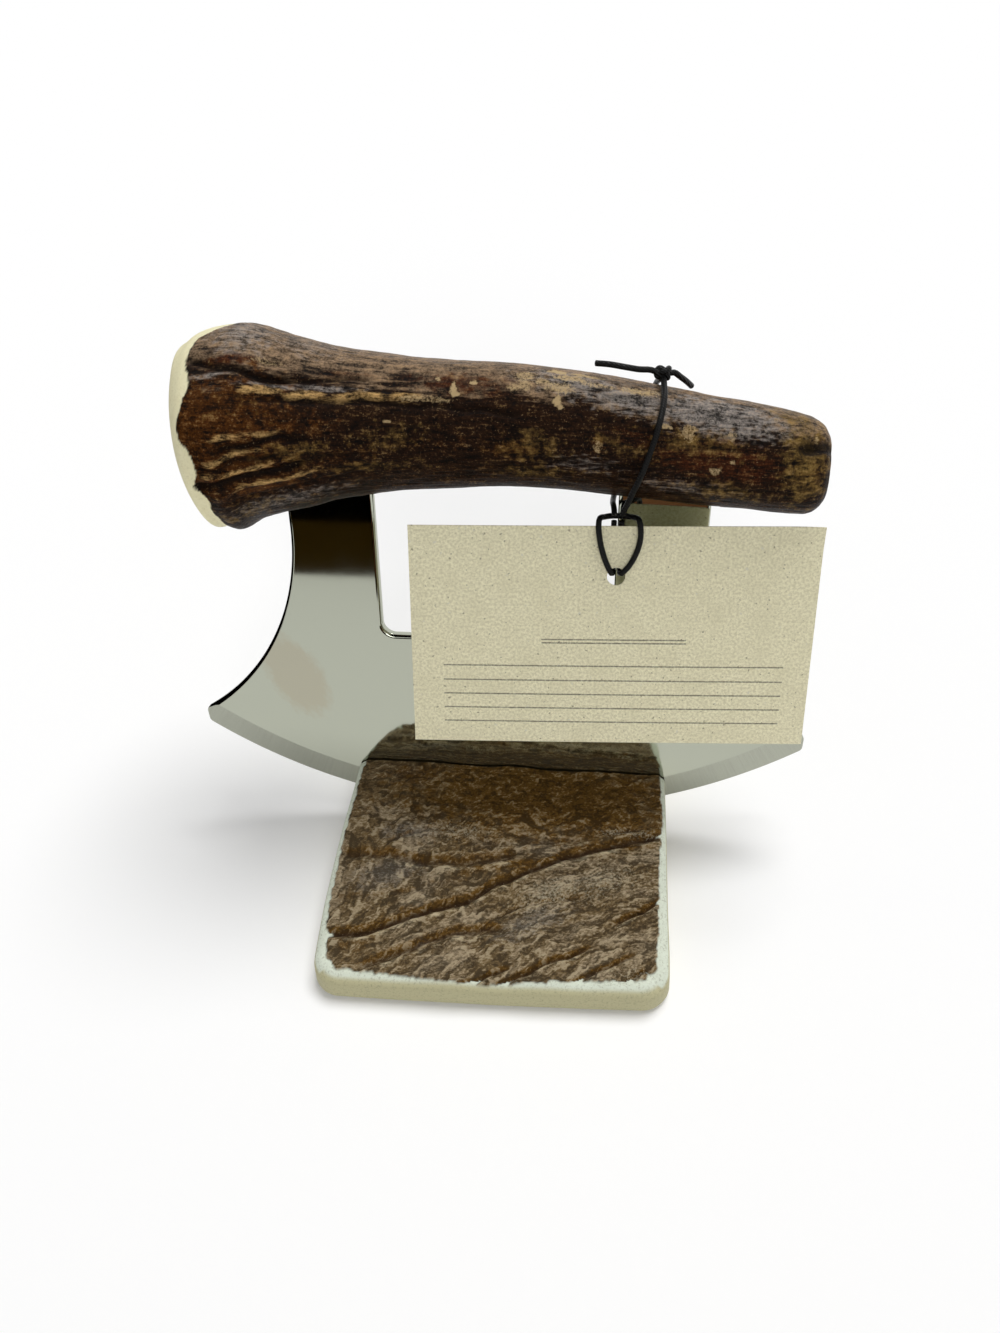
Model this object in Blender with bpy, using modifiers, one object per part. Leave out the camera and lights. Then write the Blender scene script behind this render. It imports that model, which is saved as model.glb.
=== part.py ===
"""Ulu knife with an antler handle, standing in its antler stand, with a card tag tied on by a cord.

Metres, +Z up. X runs along the blade, +Y points backwards, and the origin is on the surface that the stand
rests on, under the middle of the whole object. The knife is modelled upright in a frame of its own, which
stands in the stand's groove and leans back. Its x is along the blade, its y backwards and its z up the blade.
"""

import math

import bmesh
import bpy
from mathutils import Matrix, Vector, noise

# Blade: one sheet of stainless steel with two legs, and a window between them
BLADE_CHORD = 0.1500
BLADE_THICKNESS = 0.0027
CUTTING_EDGE_RADIUS = 0.1320
CUTTING_EDGE_LAND = 0.0003
GRIND_WIDTH = 0.0065
TIP_NOSE_RADIUS = 0.0014
TIP_FLAT = 0.0025
SHOULDER_HEIGHT = 0.0780
WINDOW_WIDTH = 0.0545
WINDOW_SILL_HEIGHT = 0.0512
WINDOW_CORNER_RADIUS = 0.0030
LEG_WIDTH = 0.0200
RIM_ROUNDING = 0.0009

# Handle: a length of antler beam, flared where it grew towards the skull
HANDLE_LENGTH = 0.1372
HANDLE_CENTRE_X = 0.0012
FINGER_ROOM = 0.0383
GRIP_HALF_HEIGHT = 0.0131
TANG_TOP_UNDER_AXIS = 0.0026
GRIP_DEPTH_SHARE = 0.88
RIDGE_DEPTH = 0.00025
# Along the length, half the height there, and the rise of the middle, the last two in grip half heights
HANDLE_PROFILE_SHARES = (
    (0.000, 0.565, 0.400),
    (0.002, 0.755, 0.320),
    (0.010, 1.090, 0.105),
    (0.021, 1.395, -0.125),
    (0.036, 1.605, -0.222),
    (0.055, 1.638, -0.175),
    (0.078, 1.685, -0.170),
    (0.108, 1.610, -0.065),
    (0.144, 1.525, -0.030),
    (0.193, 1.380, -0.035),
    (0.249, 1.236, -0.020),
    (0.335, 1.103, 0.000),
    (0.427, 1.031, 0.010),
    (0.519, 0.985, 0.015),
    (0.590, 0.962, -0.030),
    (0.669, 0.940, -0.123),
    (0.749, 0.908, -0.240),
    (0.826, 0.875, -0.352),
    (0.887, 0.848, -0.430),
    (0.933, 0.825, -0.500),
    (0.964, 0.795, -0.548),
    (0.980, 0.757, -0.578),
    (0.992, 0.680, -0.587),
    (1.000, 0.560, -0.603),
)
# Main furrows of the bark, and a ridge with a negative depth: half width, depth, and points as share along and
# degrees round from the front over the top
HANDLE_FURROWS = (
    (
        0.00075,
        0.00110,
        ((0.037, 59), (0.047, 57), (0.086, 49), (0.119, 45), (0.146, 42), (0.177, 41), (0.211, 43)),
    ),
    (
        0.00110,
        -0.00040,
        ((0.119, 33), (0.151, 32), (0.190, 33), (0.233, 33), (0.280, 33), (0.328, 35), (0.423, 34)),
    ),
    (0.00070, 0.00085, ((0.083, -1), (0.108, 0), (0.127, 0), (0.153, 2), (0.177, 4), (0.231, 5))),
    (0.00085, 0.00125, ((0.033, -19), (0.048, -19), (0.078, -18), (0.106, -19), (0.168, -18), (0.221, -14))),
    (0.00090, 0.00090, ((0.037, 128), (0.067, 126), (0.119, 121), (0.180, 118), (0.262, 121))),
    (0.00090, 0.00100, ((0.037, -138), (0.088, -140), (0.149, -136), (0.211, -138))),
)
FURROW_FADE_SHARE = 0.02
FURROW_SWAY = 0.0007
SWAYS_ALONG_HANDLE = 28
SWAY_SEED_STEP = 7.3
# Lumps of the bark: their size, their height in the flare and on the grip, and the shares where these hold
HANDLE_LUMP_SIZE = 0.0085
FLARE_LUMP_HEIGHT = 0.00032
GRIP_LUMP_HEIGHT = 0.00014
LUMP_SHARES = (0.18, 0.44)
SANDED_END_SHARES = (0.04, 0.09)
HANDLE_SIDES = 34
HANDLE_STATIONS = 48

# Epoxy bedding that holds each leg in its blind slot
BEDDING_WALL = 0.0010
BEDDING_INSET = 0.0006

# Stand: a slab of antler palm, sawn flat below, with a slanted groove across it
STAND_WIDTH = 0.0800
STAND_CENTRE_X = 0.0025
STAND_FRONT_DEPTH = 0.0555
STAND_BACK_DEPTH = 0.0440
STAND_FRONT_THICKNESS = 0.0075
STAND_GROOVE_THICKNESS = 0.0172
STAND_BACK_THICKNESS = 0.0110
STAND_FRONT_SKEW = 0.0024
STAND_SIDE_TAPER = 0.0007
STAND_CORNER_RADIUS = 0.0060
SANDED_EDGE_WIDTH = 0.0022
SANDED_EDGE_DROP = 0.0010
BARK_WAVE_HEIGHT = 0.0005
BARK_WAVE_LENGTH = 0.0130
GROOVE_CLEARANCE = 0.0004
SEAT_HEIGHT = 0.0028
KNIFE_LEAN = math.radians(13.7)
# Along the depth from front to back, and how far the left and the right side bulge, in half widths
STAND_SIDE_SHARES = (
    (0.00, 0.000, 0.028),
    (0.11, 0.010, 0.030),
    (0.21, 0.0125, 0.0235),
    (0.40, -0.0025, 0.0175),
    (0.52, -0.0225, 0.0125),
    (0.58, -0.030, 0.010),
    (0.75, -0.050, -0.010),
    (1.00, -0.120, -0.090),
)
# Main furrows of the bark: half width, depth, and points from left to right, in half widths and half depths
STAND_FURROWS = (
    (
        0.0010,
        0.0009,
        ((-0.763, -0.925), (-0.668, -0.903), (-0.440, -0.820), (-0.220, -0.742), (0.088, -0.702)),
    ),
    (
        0.0010,
        0.0011,
        (
            (-0.988, -0.792),
            (-0.768, -0.764),
            (-0.598, -0.722),
            (-0.443, -0.657),
            (-0.243, -0.601),
            (-0.135, -0.571),
            (-0.033, -0.507),
            (0.100, -0.444),
            (0.238, -0.388),
            (0.360, -0.338),
            (0.498, -0.299),
            (0.708, -0.247),
            (1.013, -0.177),
        ),
    ),
    (
        0.0011,
        0.0008,
        ((-0.988, -0.386), (-0.710, -0.372), (-0.505, -0.388), (-0.133, -0.380), (0.145, -0.328)),
    ),
)
STAND_FURROW_FADE = 0.0030
STAND_FURROW_SWAY = 0.0006
STAND_SWAY_LENGTH = 0.0035
STAND_SWAY_SEED_STEP = 3.7
STAND_LUMP_HEIGHT = 0.0004
STAND_LUMP_LENGTH = 0.0080
STAND_LUMP_WIDTH = 0.0042
STAND_LUMP_SEED = 3
# The bark's pattern runs level at the back and climbs to the right in front, between these half depths
BARK_CLIMB = 0.50
BARK_CLIMB_SHARES = (-0.12, -0.76)
STAND_COLUMNS = 44
STAND_ROWS = 50

# Tag: a card of the size of a business card, hung by a hole near its top edge
TAG_WIDTH = 0.0889
TAG_HEIGHT = 0.0508
TAG_THICKNESS = 0.0004
TAG_HOLE_DIAMETER = 0.0040
TAG_HOLE_FROM_TOP = 0.0111
TAG_HOLE_OFF_CENTRE = 0.0006
TAG_TOP_UNDER_PIVOT = 0.0015
TAG_IN_FRONT_OF_PIVOT = 0.0009
TAG_TILT = math.radians(22.4)
TAG_TURN = math.radians(4.0)
# Where the tag swings, in the knife's frame
TAG_PIVOT = Vector((0.0272, -0.0071, 0.0850))

# Cord: a thin round black cord, tied round the handle and hitched through the tag
CORD_DIAMETER = 0.00125
CORD_POINT_SPACING = 0.0030
KNOT_RADIUS = 0.0019
KNOT_HEIGHT_SHARE = 1.05
KNOT_CENTRE = Vector((0.0349, -0.0012, 0.1143))

# The cord's routes, in the knife's frame but for the hitch, which is in the tag's
FRONT_STRAND_ROUTE = (
    (0.0351, -0.0034, 0.1123),
    (0.0352, -0.0059, 0.1112),
    (0.0350, -0.0081, 0.1094),
    (0.0344, -0.0101, 0.1066),
    (0.0336, -0.0112, 0.1034),
    (0.0327, -0.0117, 0.1005),
    (0.0318, -0.0118, 0.0975),
    (0.0309, -0.0112, 0.0947),
    (0.0299, -0.0102, 0.0919),
    (0.0290, -0.0092, 0.0890),
    (0.0282, -0.0080, 0.0868),
    (0.0280, -0.0073, 0.0857),
)
BACK_STRAND_ROUTE = (
    (0.0348, 0.0012, 0.1125),
    (0.0346, 0.0036, 0.1119),
    (0.0340, 0.0071, 0.1102),
    (0.0332, 0.0100, 0.1069),
    (0.0323, 0.0115, 0.1030),
    (0.0313, 0.0121, 0.0990),
    (0.0302, 0.0113, 0.0945),
    (0.0289, 0.0088, 0.0908),
    (0.0275, 0.0054, 0.0884),
    (0.0263, 0.0020, 0.0870),
    (0.0260, -0.0015, 0.0866),
    (0.0261, -0.0042, 0.0869),
    (0.0263, -0.0060, 0.0865),
    (0.0264, -0.0070, 0.0857),
)
LONG_TAIL_ROUTE = (
    (0.0325, -0.0016, 0.1149),
    (0.0300, -0.0024, 0.1152),
    (0.0272, -0.0028, 0.1157),
    (0.0240, -0.0024, 0.1161),
    (0.0212, -0.0012, 0.1160),
)
SHORT_TAIL_ROUTE = (
    (0.0371, 0.0000, 0.1141),
    (0.0385, 0.0012, 0.1130),
    (0.0400, 0.0030, 0.1116),
    (0.0412, 0.0050, 0.1102),
)
HITCH_ROUTE = (
    (0.0008, 0.0000, -0.0006),
    (0.0008, 0.0003, -0.0022),
    (0.0008, 0.0004, -0.0050),
    (0.0008, 0.0004, -0.0090),
    (0.0008, 0.0002, -0.0110),
    (0.0008, -0.0009, -0.0119),
    (0.0011, -0.0020, -0.0116),
    (0.0024, -0.0021, -0.0102),
    (0.0036, -0.0021, -0.0081),
    (0.0045, -0.0021, -0.0056),
    (0.0048, -0.0021, -0.0032),
    (0.0046, -0.0020, -0.0010),
    (0.0042, -0.0009, 0.0001),
    (0.0030, 0.0008, 0.0001),
    (0.0016, 0.0017, 0.0001),
    (0.0000, 0.0019, 0.0001),
    (-0.0016, 0.0017, 0.0001),
    (-0.0028, 0.0008, 0.0001),
    (-0.0039, -0.0009, 0.0002),
    (-0.0042, -0.0020, -0.0010),
    (-0.0040, -0.0021, -0.0032),
    (-0.0035, -0.0021, -0.0058),
    (-0.0027, -0.0021, -0.0083),
    (-0.0019, -0.0021, -0.0102),
    (-0.0011, -0.0020, -0.0116),
    (-0.0008, -0.0009, -0.0119),
    (-0.0008, 0.0002, -0.0110),
    (-0.0008, 0.0004, -0.0090),
    (-0.0008, 0.0004, -0.0050),
    (-0.0008, 0.0003, -0.0022),
    (-0.0008, 0.0000, -0.0006),
)

# Fits shared by all the pieces
TOUCHING_GAP = 0.0003
EDGE_GATHERING = 0.5
FLANK_SHARES = (-1.6, -0.8, 0.0, 0.8, 1.6)
LEAST_TURN = math.radians(1.0)
LEAST_ROW_SPACING = 0.0003
FURROW_PASSES = 3
CUT_OVERRUN = 0.0050
WELD_DISTANCE = 0.00001
ARC_STEP = math.radians(4)
EDGE_ARC_STEP = math.radians(1)
TURNED_STEPS = 256

HANDLE_AXIS_HEIGHT = WINDOW_SILL_HEIGHT + FINGER_ROOM + GRIP_HALF_HEIGHT
TANG_TOP_HEIGHT = HANDLE_AXIS_HEIGHT - TANG_TOP_UNDER_AXIS
STAND_DEPTH = STAND_FRONT_DEPTH + STAND_BACK_DEPTH
GROOVE_Y = (STAND_FRONT_DEPTH - STAND_BACK_DEPTH) / 2


def clear_scene():
    for old in list(bpy.data.objects):
        bpy.data.objects.remove(old)


def new_collection(name):
    collection = bpy.data.collections.new(name)
    bpy.context.scene.collection.children.link(collection)
    return collection


def material(name, red, green, blue, roughness, metallic=0.0):
    made = bpy.data.materials.new(name)
    made.use_nodes = True
    shader = made.node_tree.nodes["Principled BSDF"]
    shader.inputs["Base Color"].default_value = (red, green, blue, 1)
    shader.inputs["Roughness"].default_value = roughness
    shader.inputs["Metallic"].default_value = metallic
    return made


def frame_empty(name, parent=None, location=(0, 0, 0), rotation=(0, 0, 0)):
    empty = bpy.data.objects.new(name, None)
    bpy.context.scene.collection.objects.link(empty)
    empty.parent = parent
    empty.location = location
    empty.rotation_euler = rotation
    return empty


def add_object(name, data, finish, parent=None):
    """A sub-part in the object's own collection."""
    made = bpy.data.objects.new(name, data)
    PARTS.objects.link(made)
    made.parent = parent
    data.materials.append(finish)
    return made


def add_cutter(name, mesh, parent=None):
    made = bpy.data.objects.new(name, mesh)
    CUTTERS.objects.link(made)
    made.parent = parent
    made.hide_render = True
    made.display_type = "WIRE"
    return made


def boolean(target, cutter, operation):
    modifier = target.modifiers.new(cutter.name, "BOOLEAN")
    modifier.operation = operation
    modifier.solver = "EXACT"
    modifier.object = cutter


def mesh_from(bm, name):
    bmesh.ops.recalc_face_normals(bm, faces=bm.faces)
    mesh = bpy.data.meshes.new(name)
    bm.to_mesh(mesh)
    bm.free()
    return mesh


def box_mesh(name, low, high):
    """A box between two corners."""
    low, high = Vector(low), Vector(high)
    bm = bmesh.new()
    bmesh.ops.create_cube(bm, size=1)
    bmesh.ops.scale(bm, vec=high - low, verts=bm.verts)
    bmesh.ops.translate(bm, vec=(low + high) / 2, verts=bm.verts)
    return mesh_from(bm, name)


def mesh_of_curve(curve):
    """The closed mesh of a filled curve, with its caps welded on."""
    helper = bpy.data.objects.new(curve.name, curve)
    bpy.context.scene.collection.objects.link(helper)
    evaluated = helper.evaluated_get(bpy.context.evaluated_depsgraph_get())
    mesh = bpy.data.meshes.new_from_object(evaluated)
    bpy.data.objects.remove(helper)
    bm = bmesh.new()
    bm.from_mesh(mesh)
    bmesh.ops.remove_doubles(bm, verts=bm.verts, dist=WELD_DISTANCE)
    bm.to_mesh(mesh)
    bm.free()
    return mesh


def plate_mesh(name, outlines, thickness, rounding=0.0):
    """A flat plate, upright in the XZ plane. Outlines after the first are holes in it."""
    curve = bpy.data.curves.new(name, "CURVE")
    curve.dimensions = "2D"
    curve.fill_mode = "BOTH"
    curve.extrude = thickness / 2 - rounding
    curve.bevel_depth = rounding
    curve.bevel_resolution = 2
    curve.offset = -rounding
    for outline in outlines:
        spline = curve.splines.new("POLY")
        spline.points.add(len(outline) - 1)
        for point, (across, up) in zip(spline.points, outline):
            point.co = (across, up, 0, 1)
        spline.use_cyclic_u = True
    mesh = mesh_of_curve(curve)
    mesh.transform(Matrix.Rotation(math.pi / 2, 4, "X"))
    return mesh


def arc(centre, radius, start, end, step=ARC_STEP):
    """Points along an arc, both ends included."""
    count = max(2, math.ceil(abs(end - start) / step))
    angles = [start + (end - start) * i / count for i in range(count + 1)]
    return [(centre[0] + radius * math.cos(a), centre[1] + radius * math.sin(a)) for a in angles]


def smooth_between(table, share, column):
    """The column's value at a share along the table, on a smooth line through its rows."""
    last = len(table) - 1
    row = max(i for i in range(last) if table[i][0] <= share or i == 0)
    before, after = table[max(row - 1, 0)], table[min(row + 2, last)]
    here, there = table[row], table[row + 1]
    span = there[0] - here[0]
    t = min(max((share - here[0]) / span, 0), 1)
    rise_here = (there[column] - before[column]) / (there[0] - before[0]) * span
    rise_there = (after[column] - here[column]) / (after[0] - here[0]) * span
    return (
        here[column] * (2 * t**3 - 3 * t**2 + 1)
        + rise_here * (t**3 - 2 * t**2 + t)
        + there[column] * (3 * t**2 - 2 * t**3)
        + rise_there * (t**3 - t**2)
    )


def smooth_step(low, high, value):
    """0 before low and 1 past high, with a smooth rise between."""
    t = min(max((value - low) / (high - low), 0), 1)
    return t * t * (3 - 2 * t)


def gathered(count):
    """Evenly spaced numbers from -1 to 1, drawn a little towards both ends."""
    even = [2 * i / (count - 1) - 1 for i in range(count)]
    return [t * (1 - EDGE_GATHERING) + math.sin(t * math.pi / 2) * EDGE_GATHERING for t in even]


def kept_apart(places, least):
    """The places in order, each at least so far after the one before."""
    ordered = sorted(places)
    for i in range(1, len(ordered)):
        ordered[i] = max(ordered[i], ordered[i - 1] + least)
    return ordered


def smooth_route(route, spacing):
    """Points about a spacing apart on one smooth line through the route's own points."""
    points = [Vector(p) for p in route]
    made = [points[0]]
    for i in range(len(points) - 1):
        before, here = points[max(i - 1, 0)], points[i]
        there, after = points[i + 1], points[min(i + 2, len(points) - 1)]
        steps = max(1, round((there - here).length / spacing))
        for step in range(1, steps + 1):
            t = step / steps
            made.append(
                (
                    2 * here
                    + (there - before) * t
                    + (2 * before - 5 * here + 4 * there - after) * t**2
                    + (3 * here - 3 * there + after - before) * t**3
                )
                / 2
            )
    return made


def add_cord(name, route, parent):
    """A round tube along a route."""
    curve = bpy.data.curves.new(name, "CURVE")
    curve.dimensions = "3D"
    curve.bevel_depth = CORD_DIAMETER / 2
    curve.bevel_resolution = 2
    curve.use_fill_caps = True
    points = smooth_route(route, CORD_POINT_SPACING)
    spline = curve.splines.new("POLY")
    spline.points.add(len(points) - 1)
    for spline_point, place in zip(spline.points, points):
        spline_point.co = (*place, 1)
    return add_object(name, curve, CORD_BLACK, parent)


def half_blade_outline():
    """The blade's right half, from the middle of the cutting edge up to the middle of the window's sill."""
    inner = WINDOW_WIDTH / 2
    outer = inner + LEG_WIDTH
    edge_centre = (0, CUTTING_EDGE_RADIUS)
    nose_x = BLADE_CHORD / 2 - TIP_NOSE_RADIUS
    edge_reach = CUTTING_EDGE_RADIUS - TIP_NOSE_RADIUS
    nose_low = (nose_x, CUTTING_EDGE_RADIUS - math.sqrt(edge_reach**2 - nose_x**2))
    nose_high = (nose_x, nose_low[1] + TIP_FLAT)
    # The hollow flank leaves the tip's nose smoothly and runs into the leg upright at the shoulder
    in_from_nose = nose_x - outer
    up_from_nose = SHOULDER_HEIGHT - nose_high[1]
    flank_radius = (in_from_nose**2 + up_from_nose**2 - TIP_NOSE_RADIUS**2) / 2 / (in_from_nose + TIP_NOSE_RADIUS)
    flank_centre = (outer + flank_radius, SHOULDER_HEIGHT)
    edge_end = math.atan2(nose_low[1] - edge_centre[1], nose_low[0])
    flank_start = math.atan2(nose_high[1] - flank_centre[1], nose_x - flank_centre[0])
    corner_centre = (inner - WINDOW_CORNER_RADIUS, WINDOW_SILL_HEIGHT + WINDOW_CORNER_RADIUS)
    points = arc(edge_centre, CUTTING_EDGE_RADIUS, -math.pi / 2, edge_end, EDGE_ARC_STEP)
    points += arc(nose_low, TIP_NOSE_RADIUS, edge_end, 0)[1:]
    points += arc(nose_high, TIP_NOSE_RADIUS, 0, flank_start + math.pi)
    points += arc(flank_centre, flank_radius, flank_start, -math.pi)[1:]
    points += [(outer, TANG_TOP_HEIGHT), (inner, TANG_TOP_HEIGHT)]
    points += arc(corner_centre, WINDOW_CORNER_RADIUS, 0, -math.pi / 2)
    return points


def grinding_cone():
    """A double cone about the cutting edge's centre, which leaves the blade its ground bevels."""
    slope = (BLADE_THICKNESS - CUTTING_EDGE_LAND) / 2 / GRIND_WIDTH
    rim = CUTTING_EDGE_RADIUS + CUTTING_EDGE_LAND / 2 / slope
    reach = BLADE_THICKNESS
    shoulder = rim - reach / slope
    mesh = bpy.data.meshes.new("grinding_cone")
    profile = [(0, 0, reach), (shoulder, 0, reach), (rim, 0, 0), (shoulder, 0, -reach), (0, 0, -reach)]
    mesh.from_pydata(profile, [(i, i + 1) for i in range(len(profile) - 1)], [])
    cone = add_cutter("grinding_cone", mesh, KNIFE_FRAME)
    cone.location = (0, 0, CUTTING_EDGE_RADIUS)
    cone.rotation_euler = (math.pi / 2, 0, 0)
    screw = cone.modifiers.new("turn", "SCREW")
    screw.steps = TURNED_STEPS
    screw.render_steps = TURNED_STEPS
    screw.use_merge_vertices = True
    screw.merge_threshold = WELD_DISTANCE
    return cone


def build_blade():
    half = half_blade_outline()
    outline = half + [(-x, z) for x, z in reversed(half) if x > WELD_DISTANCE]
    mesh = plate_mesh("blade", [outline], BLADE_THICKNESS, RIM_ROUNDING)
    blade = add_object("blade", mesh, POLISHED_STEEL, KNIFE_FRAME)
    boolean(blade, grinding_cone(), "INTERSECT")


def handle_furrows(share, half_height):
    """Each furrow of the handle at a section: its angle round, its half width and its depth there."""
    found = []
    for index, (half_width, depth, points) in enumerate(HANDLE_FURROWS):
        sway_place = Vector((share * SWAYS_ALONG_HANDLE, index * SWAY_SEED_STEP, 0))
        sway = FURROW_SWAY / half_height * noise.noise(sway_place)
        around = math.radians(smooth_between(points, share, 1)) + sway
        inside = min(share - points[0][0], points[-1][0] - share) / FURROW_FADE_SHARE
        found.append((around, half_width, depth * min(max(inside, 0), 1)))
    return found


def handle_ring(share, inset):
    """The points round the handle at a section, with some of them on each furrow's middle and flanks."""
    half_height = GRIP_HALF_HEIGHT * smooth_between(HANDLE_PROFILE_SHARES, share, 1)
    rise = GRIP_HALF_HEIGHT * smooth_between(HANDLE_PROFILE_SHARES, share, 2)
    axis_height = HANDLE_AXIS_HEIGHT + rise
    turning_radius = max(half_height, GRIP_HALF_HEIGHT)
    furrows = handle_furrows(share, turning_radius)
    turns = [math.pi * (2 * i / HANDLE_SIDES - 1) for i in range(HANDLE_SIDES)]
    for around, half_width, _ in furrows:
        turns += [around + half_width * flank / turning_radius for flank in FLANK_SHARES[::2]]
    x = HANDLE_CENTRE_X + HANDLE_LENGTH * (share - 1 / 2)
    flared = smooth_step(*LUMP_SHARES[::-1], share)
    lump_height = GRIP_LUMP_HEIGHT + (FLARE_LUMP_HEIGHT - GRIP_LUMP_HEIGHT) * flared
    bark = smooth_step(*SANDED_END_SHARES, share)
    ring = []
    for around in kept_apart(turns, LEAST_TURN):
        ridge = RIDGE_DEPTH * math.cos(5 * around + 2 * share) + RIDGE_DEPTH * math.cos(3 * around - 4 * share)
        radius = half_height + ridge * min(half_height / GRIP_HALF_HEIGHT, 1)
        forward, up = -GRIP_DEPTH_SHARE * math.cos(around), math.sin(around)
        place = Vector((x, radius * forward, axis_height + radius * up))
        relief = lump_height * noise.noise(place / HANDLE_LUMP_SIZE)
        for middle, half_width, depth in furrows:
            off = (around - middle) * radius / half_width
            relief -= depth * math.exp(-off * off)
        radius += relief * bark - inset
        ring.append((x, radius * forward, axis_height + radius * up))
    return ring


def handle_mesh(name, inset=0.0):
    """The antler beam, lofted along X through its profile. An inset makes it smaller all round."""
    bm = bmesh.new()
    rings = []
    for station in range(HANDLE_STATIONS + 1):
        share = (1 - math.cos(math.pi * station / HANDLE_STATIONS)) / 2
        rings.append([bm.verts.new(place) for place in handle_ring(share, inset)])
    for ring, further in zip(rings, rings[1:]):
        for i, vert in enumerate(ring):
            bm.faces.new((ring[i - 1], vert, further[i], further[i - 1]))
    bm.faces.new(rings[0])
    bm.faces.new(rings[-1])
    return mesh_from(bm, name)


def leg_box(name, side, margin, low):
    """A box round one leg of the blade, wider than it by a margin, from a height up past the tang's top."""
    middle = side * (WINDOW_WIDTH + LEG_WIDTH) / 2
    half_width = LEG_WIDTH / 2 + margin
    half_depth = BLADE_THICKNESS / 2 + margin
    top = TANG_TOP_HEIGHT + margin
    return box_mesh(name, (middle - half_width, -half_depth, low), (middle + half_width, half_depth, top))


def build_handle():
    handle = add_object("handle", handle_mesh("handle"), ANTLER_BARK, KNIFE_FRAME)
    inner = add_cutter("handle_inside", handle_mesh("handle_inside", BEDDING_INSET), KNIFE_FRAME)
    below = HANDLE_AXIS_HEIGHT - 2 * GRIP_HALF_HEIGHT - CUT_OVERRUN
    for side, side_name in ((-1, "left"), (1, "right")):
        outside = TOUCHING_GAP + BEDDING_WALL
        slot = add_cutter(
            f"slot_{side_name}", leg_box(f"slot_{side_name}", side, outside + TOUCHING_GAP, below), KNIFE_FRAME
        )
        boolean(handle, slot, "DIFFERENCE")
        bedding = add_object(
            f"epoxy_bedding_{side_name}",
            leg_box(f"epoxy_bedding_{side_name}", side, outside, below),
            CURED_EPOXY,
            KNIFE_FRAME,
        )
        room = add_cutter(
            f"tang_room_{side_name}",
            leg_box(f"tang_room_{side_name}", side, TOUCHING_GAP, below - CUT_OVERRUN),
            KNIFE_FRAME,
        )
        boolean(bedding, inner, "INTERSECT")
        boolean(bedding, room, "DIFFERENCE")


def stand_furrow(x, y):
    """How deep the stand's furrows are at a place."""
    deepest = 0.0
    for index, (half_width, depth, points) in enumerate(STAND_FURROWS):
        from_left = x - STAND_CENTRE_X - points[0][0] * STAND_WIDTH / 2
        from_right = STAND_CENTRE_X + points[-1][0] * STAND_WIDTH / 2 - x
        fade = min(max(min(from_left, from_right) / STAND_FURROW_FADE, 0), 1)
        sway_place = Vector((x / STAND_SWAY_LENGTH, index * STAND_SWAY_SEED_STEP, 0))
        sway = STAND_FURROW_SWAY * noise.noise(sway_place)
        middle = smooth_between(points, (x - STAND_CENTRE_X) / (STAND_WIDTH / 2), 1) * STAND_DEPTH / 2 + sway
        off = (y - middle) / half_width
        deepest = max(deepest, depth * fade * math.exp(-off * off))
    return deepest


def stand_top(share_back, edge_distance, x, y):
    """The height of the bark above the table."""
    groove_share = STAND_FRONT_DEPTH / STAND_DEPTH
    if share_back < groove_share:
        along = share_back / groove_share
        height = STAND_FRONT_THICKNESS + (STAND_GROOVE_THICKNESS - STAND_FRONT_THICKNESS) * along
    else:
        along = (share_back - groove_share) / (1 - groove_share)
        height = STAND_GROOVE_THICKNESS + (STAND_BACK_THICKNESS - STAND_GROOVE_THICKNESS) * along**2
    wave_place = Vector((x / BARK_WAVE_LENGTH, y / BARK_WAVE_LENGTH / 2, 0))
    height += BARK_WAVE_HEIGHT * noise.noise(wave_place)
    climb = BARK_CLIMB * smooth_step(*BARK_CLIMB_SHARES, y / (STAND_DEPTH / 2))
    lump_place = Vector((x / STAND_LUMP_LENGTH, (y - climb * x) / STAND_LUMP_WIDTH, STAND_LUMP_SEED))
    relief = STAND_LUMP_HEIGHT * noise.noise(lump_place) - stand_furrow(x, y)
    height += relief * min(edge_distance / SANDED_EDGE_WIDTH, 1)
    sanded = max(0, 1 - edge_distance / SANDED_EDGE_WIDTH)
    return height - SANDED_EDGE_DROP * sanded**2


def stand_bulge(across, share_back):
    """The half width there, in half widths of the stand."""
    return 1 + smooth_between(STAND_SIDE_SHARES, share_back, 1 if across < 0 else 2)


def stand_skew(across):
    """How far back the front edge lies there."""
    return STAND_FRONT_SKEW * ((across + 1) / 2) ** 2


def furrow_row(points, across):
    """Where a furrow crosses a column of the stand's grid, from -1 in front to 1 at the back."""
    along = 0.0
    for _ in range(FURROW_PASSES):
        y = smooth_between(points, across * stand_bulge(across, (along + 1) / 2), 1) * STAND_DEPTH / 2
        along = (2 * y - stand_skew(across)) / (STAND_DEPTH - stand_skew(across))
    return along


def stand_column(across):
    """The points of one column of the stand's grid, with some of them on each furrow's middle and flanks."""
    rows = gathered(STAND_ROWS)
    for half_width, _, points in STAND_FURROWS:
        middle = furrow_row(points, across)
        rows += [middle + 2 * half_width * flank / STAND_DEPTH for flank in FLANK_SHARES]
    column = []
    for along in kept_apart(rows, 2 * LEAST_ROW_SPACING / STAND_DEPTH):
        along = min(along, 1)
        share_back = (along + 1) / 2
        half_width = STAND_WIDTH / 2 * stand_bulge(across, share_back)
        x, y = across * half_width, along * STAND_DEPTH / 2
        over_x = max(0, abs(x) - half_width + STAND_CORNER_RADIUS)
        over_y = max(0, abs(y) - STAND_DEPTH / 2 + STAND_CORNER_RADIUS)
        if over_x and over_y:
            pull = max(over_x, over_y) / math.hypot(over_x, over_y)
            x -= math.copysign(over_x * (1 - pull), x)
            y -= math.copysign(over_y * (1 - pull), y)
        x += STAND_CENTRE_X
        y += stand_skew(across) * (1 - share_back)
        edge_distance = min((1 - abs(across)) * half_width, (1 - abs(along)) * STAND_DEPTH / 2)
        column.append((x, y, stand_top(share_back, edge_distance, x, y)))
    return column


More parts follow.
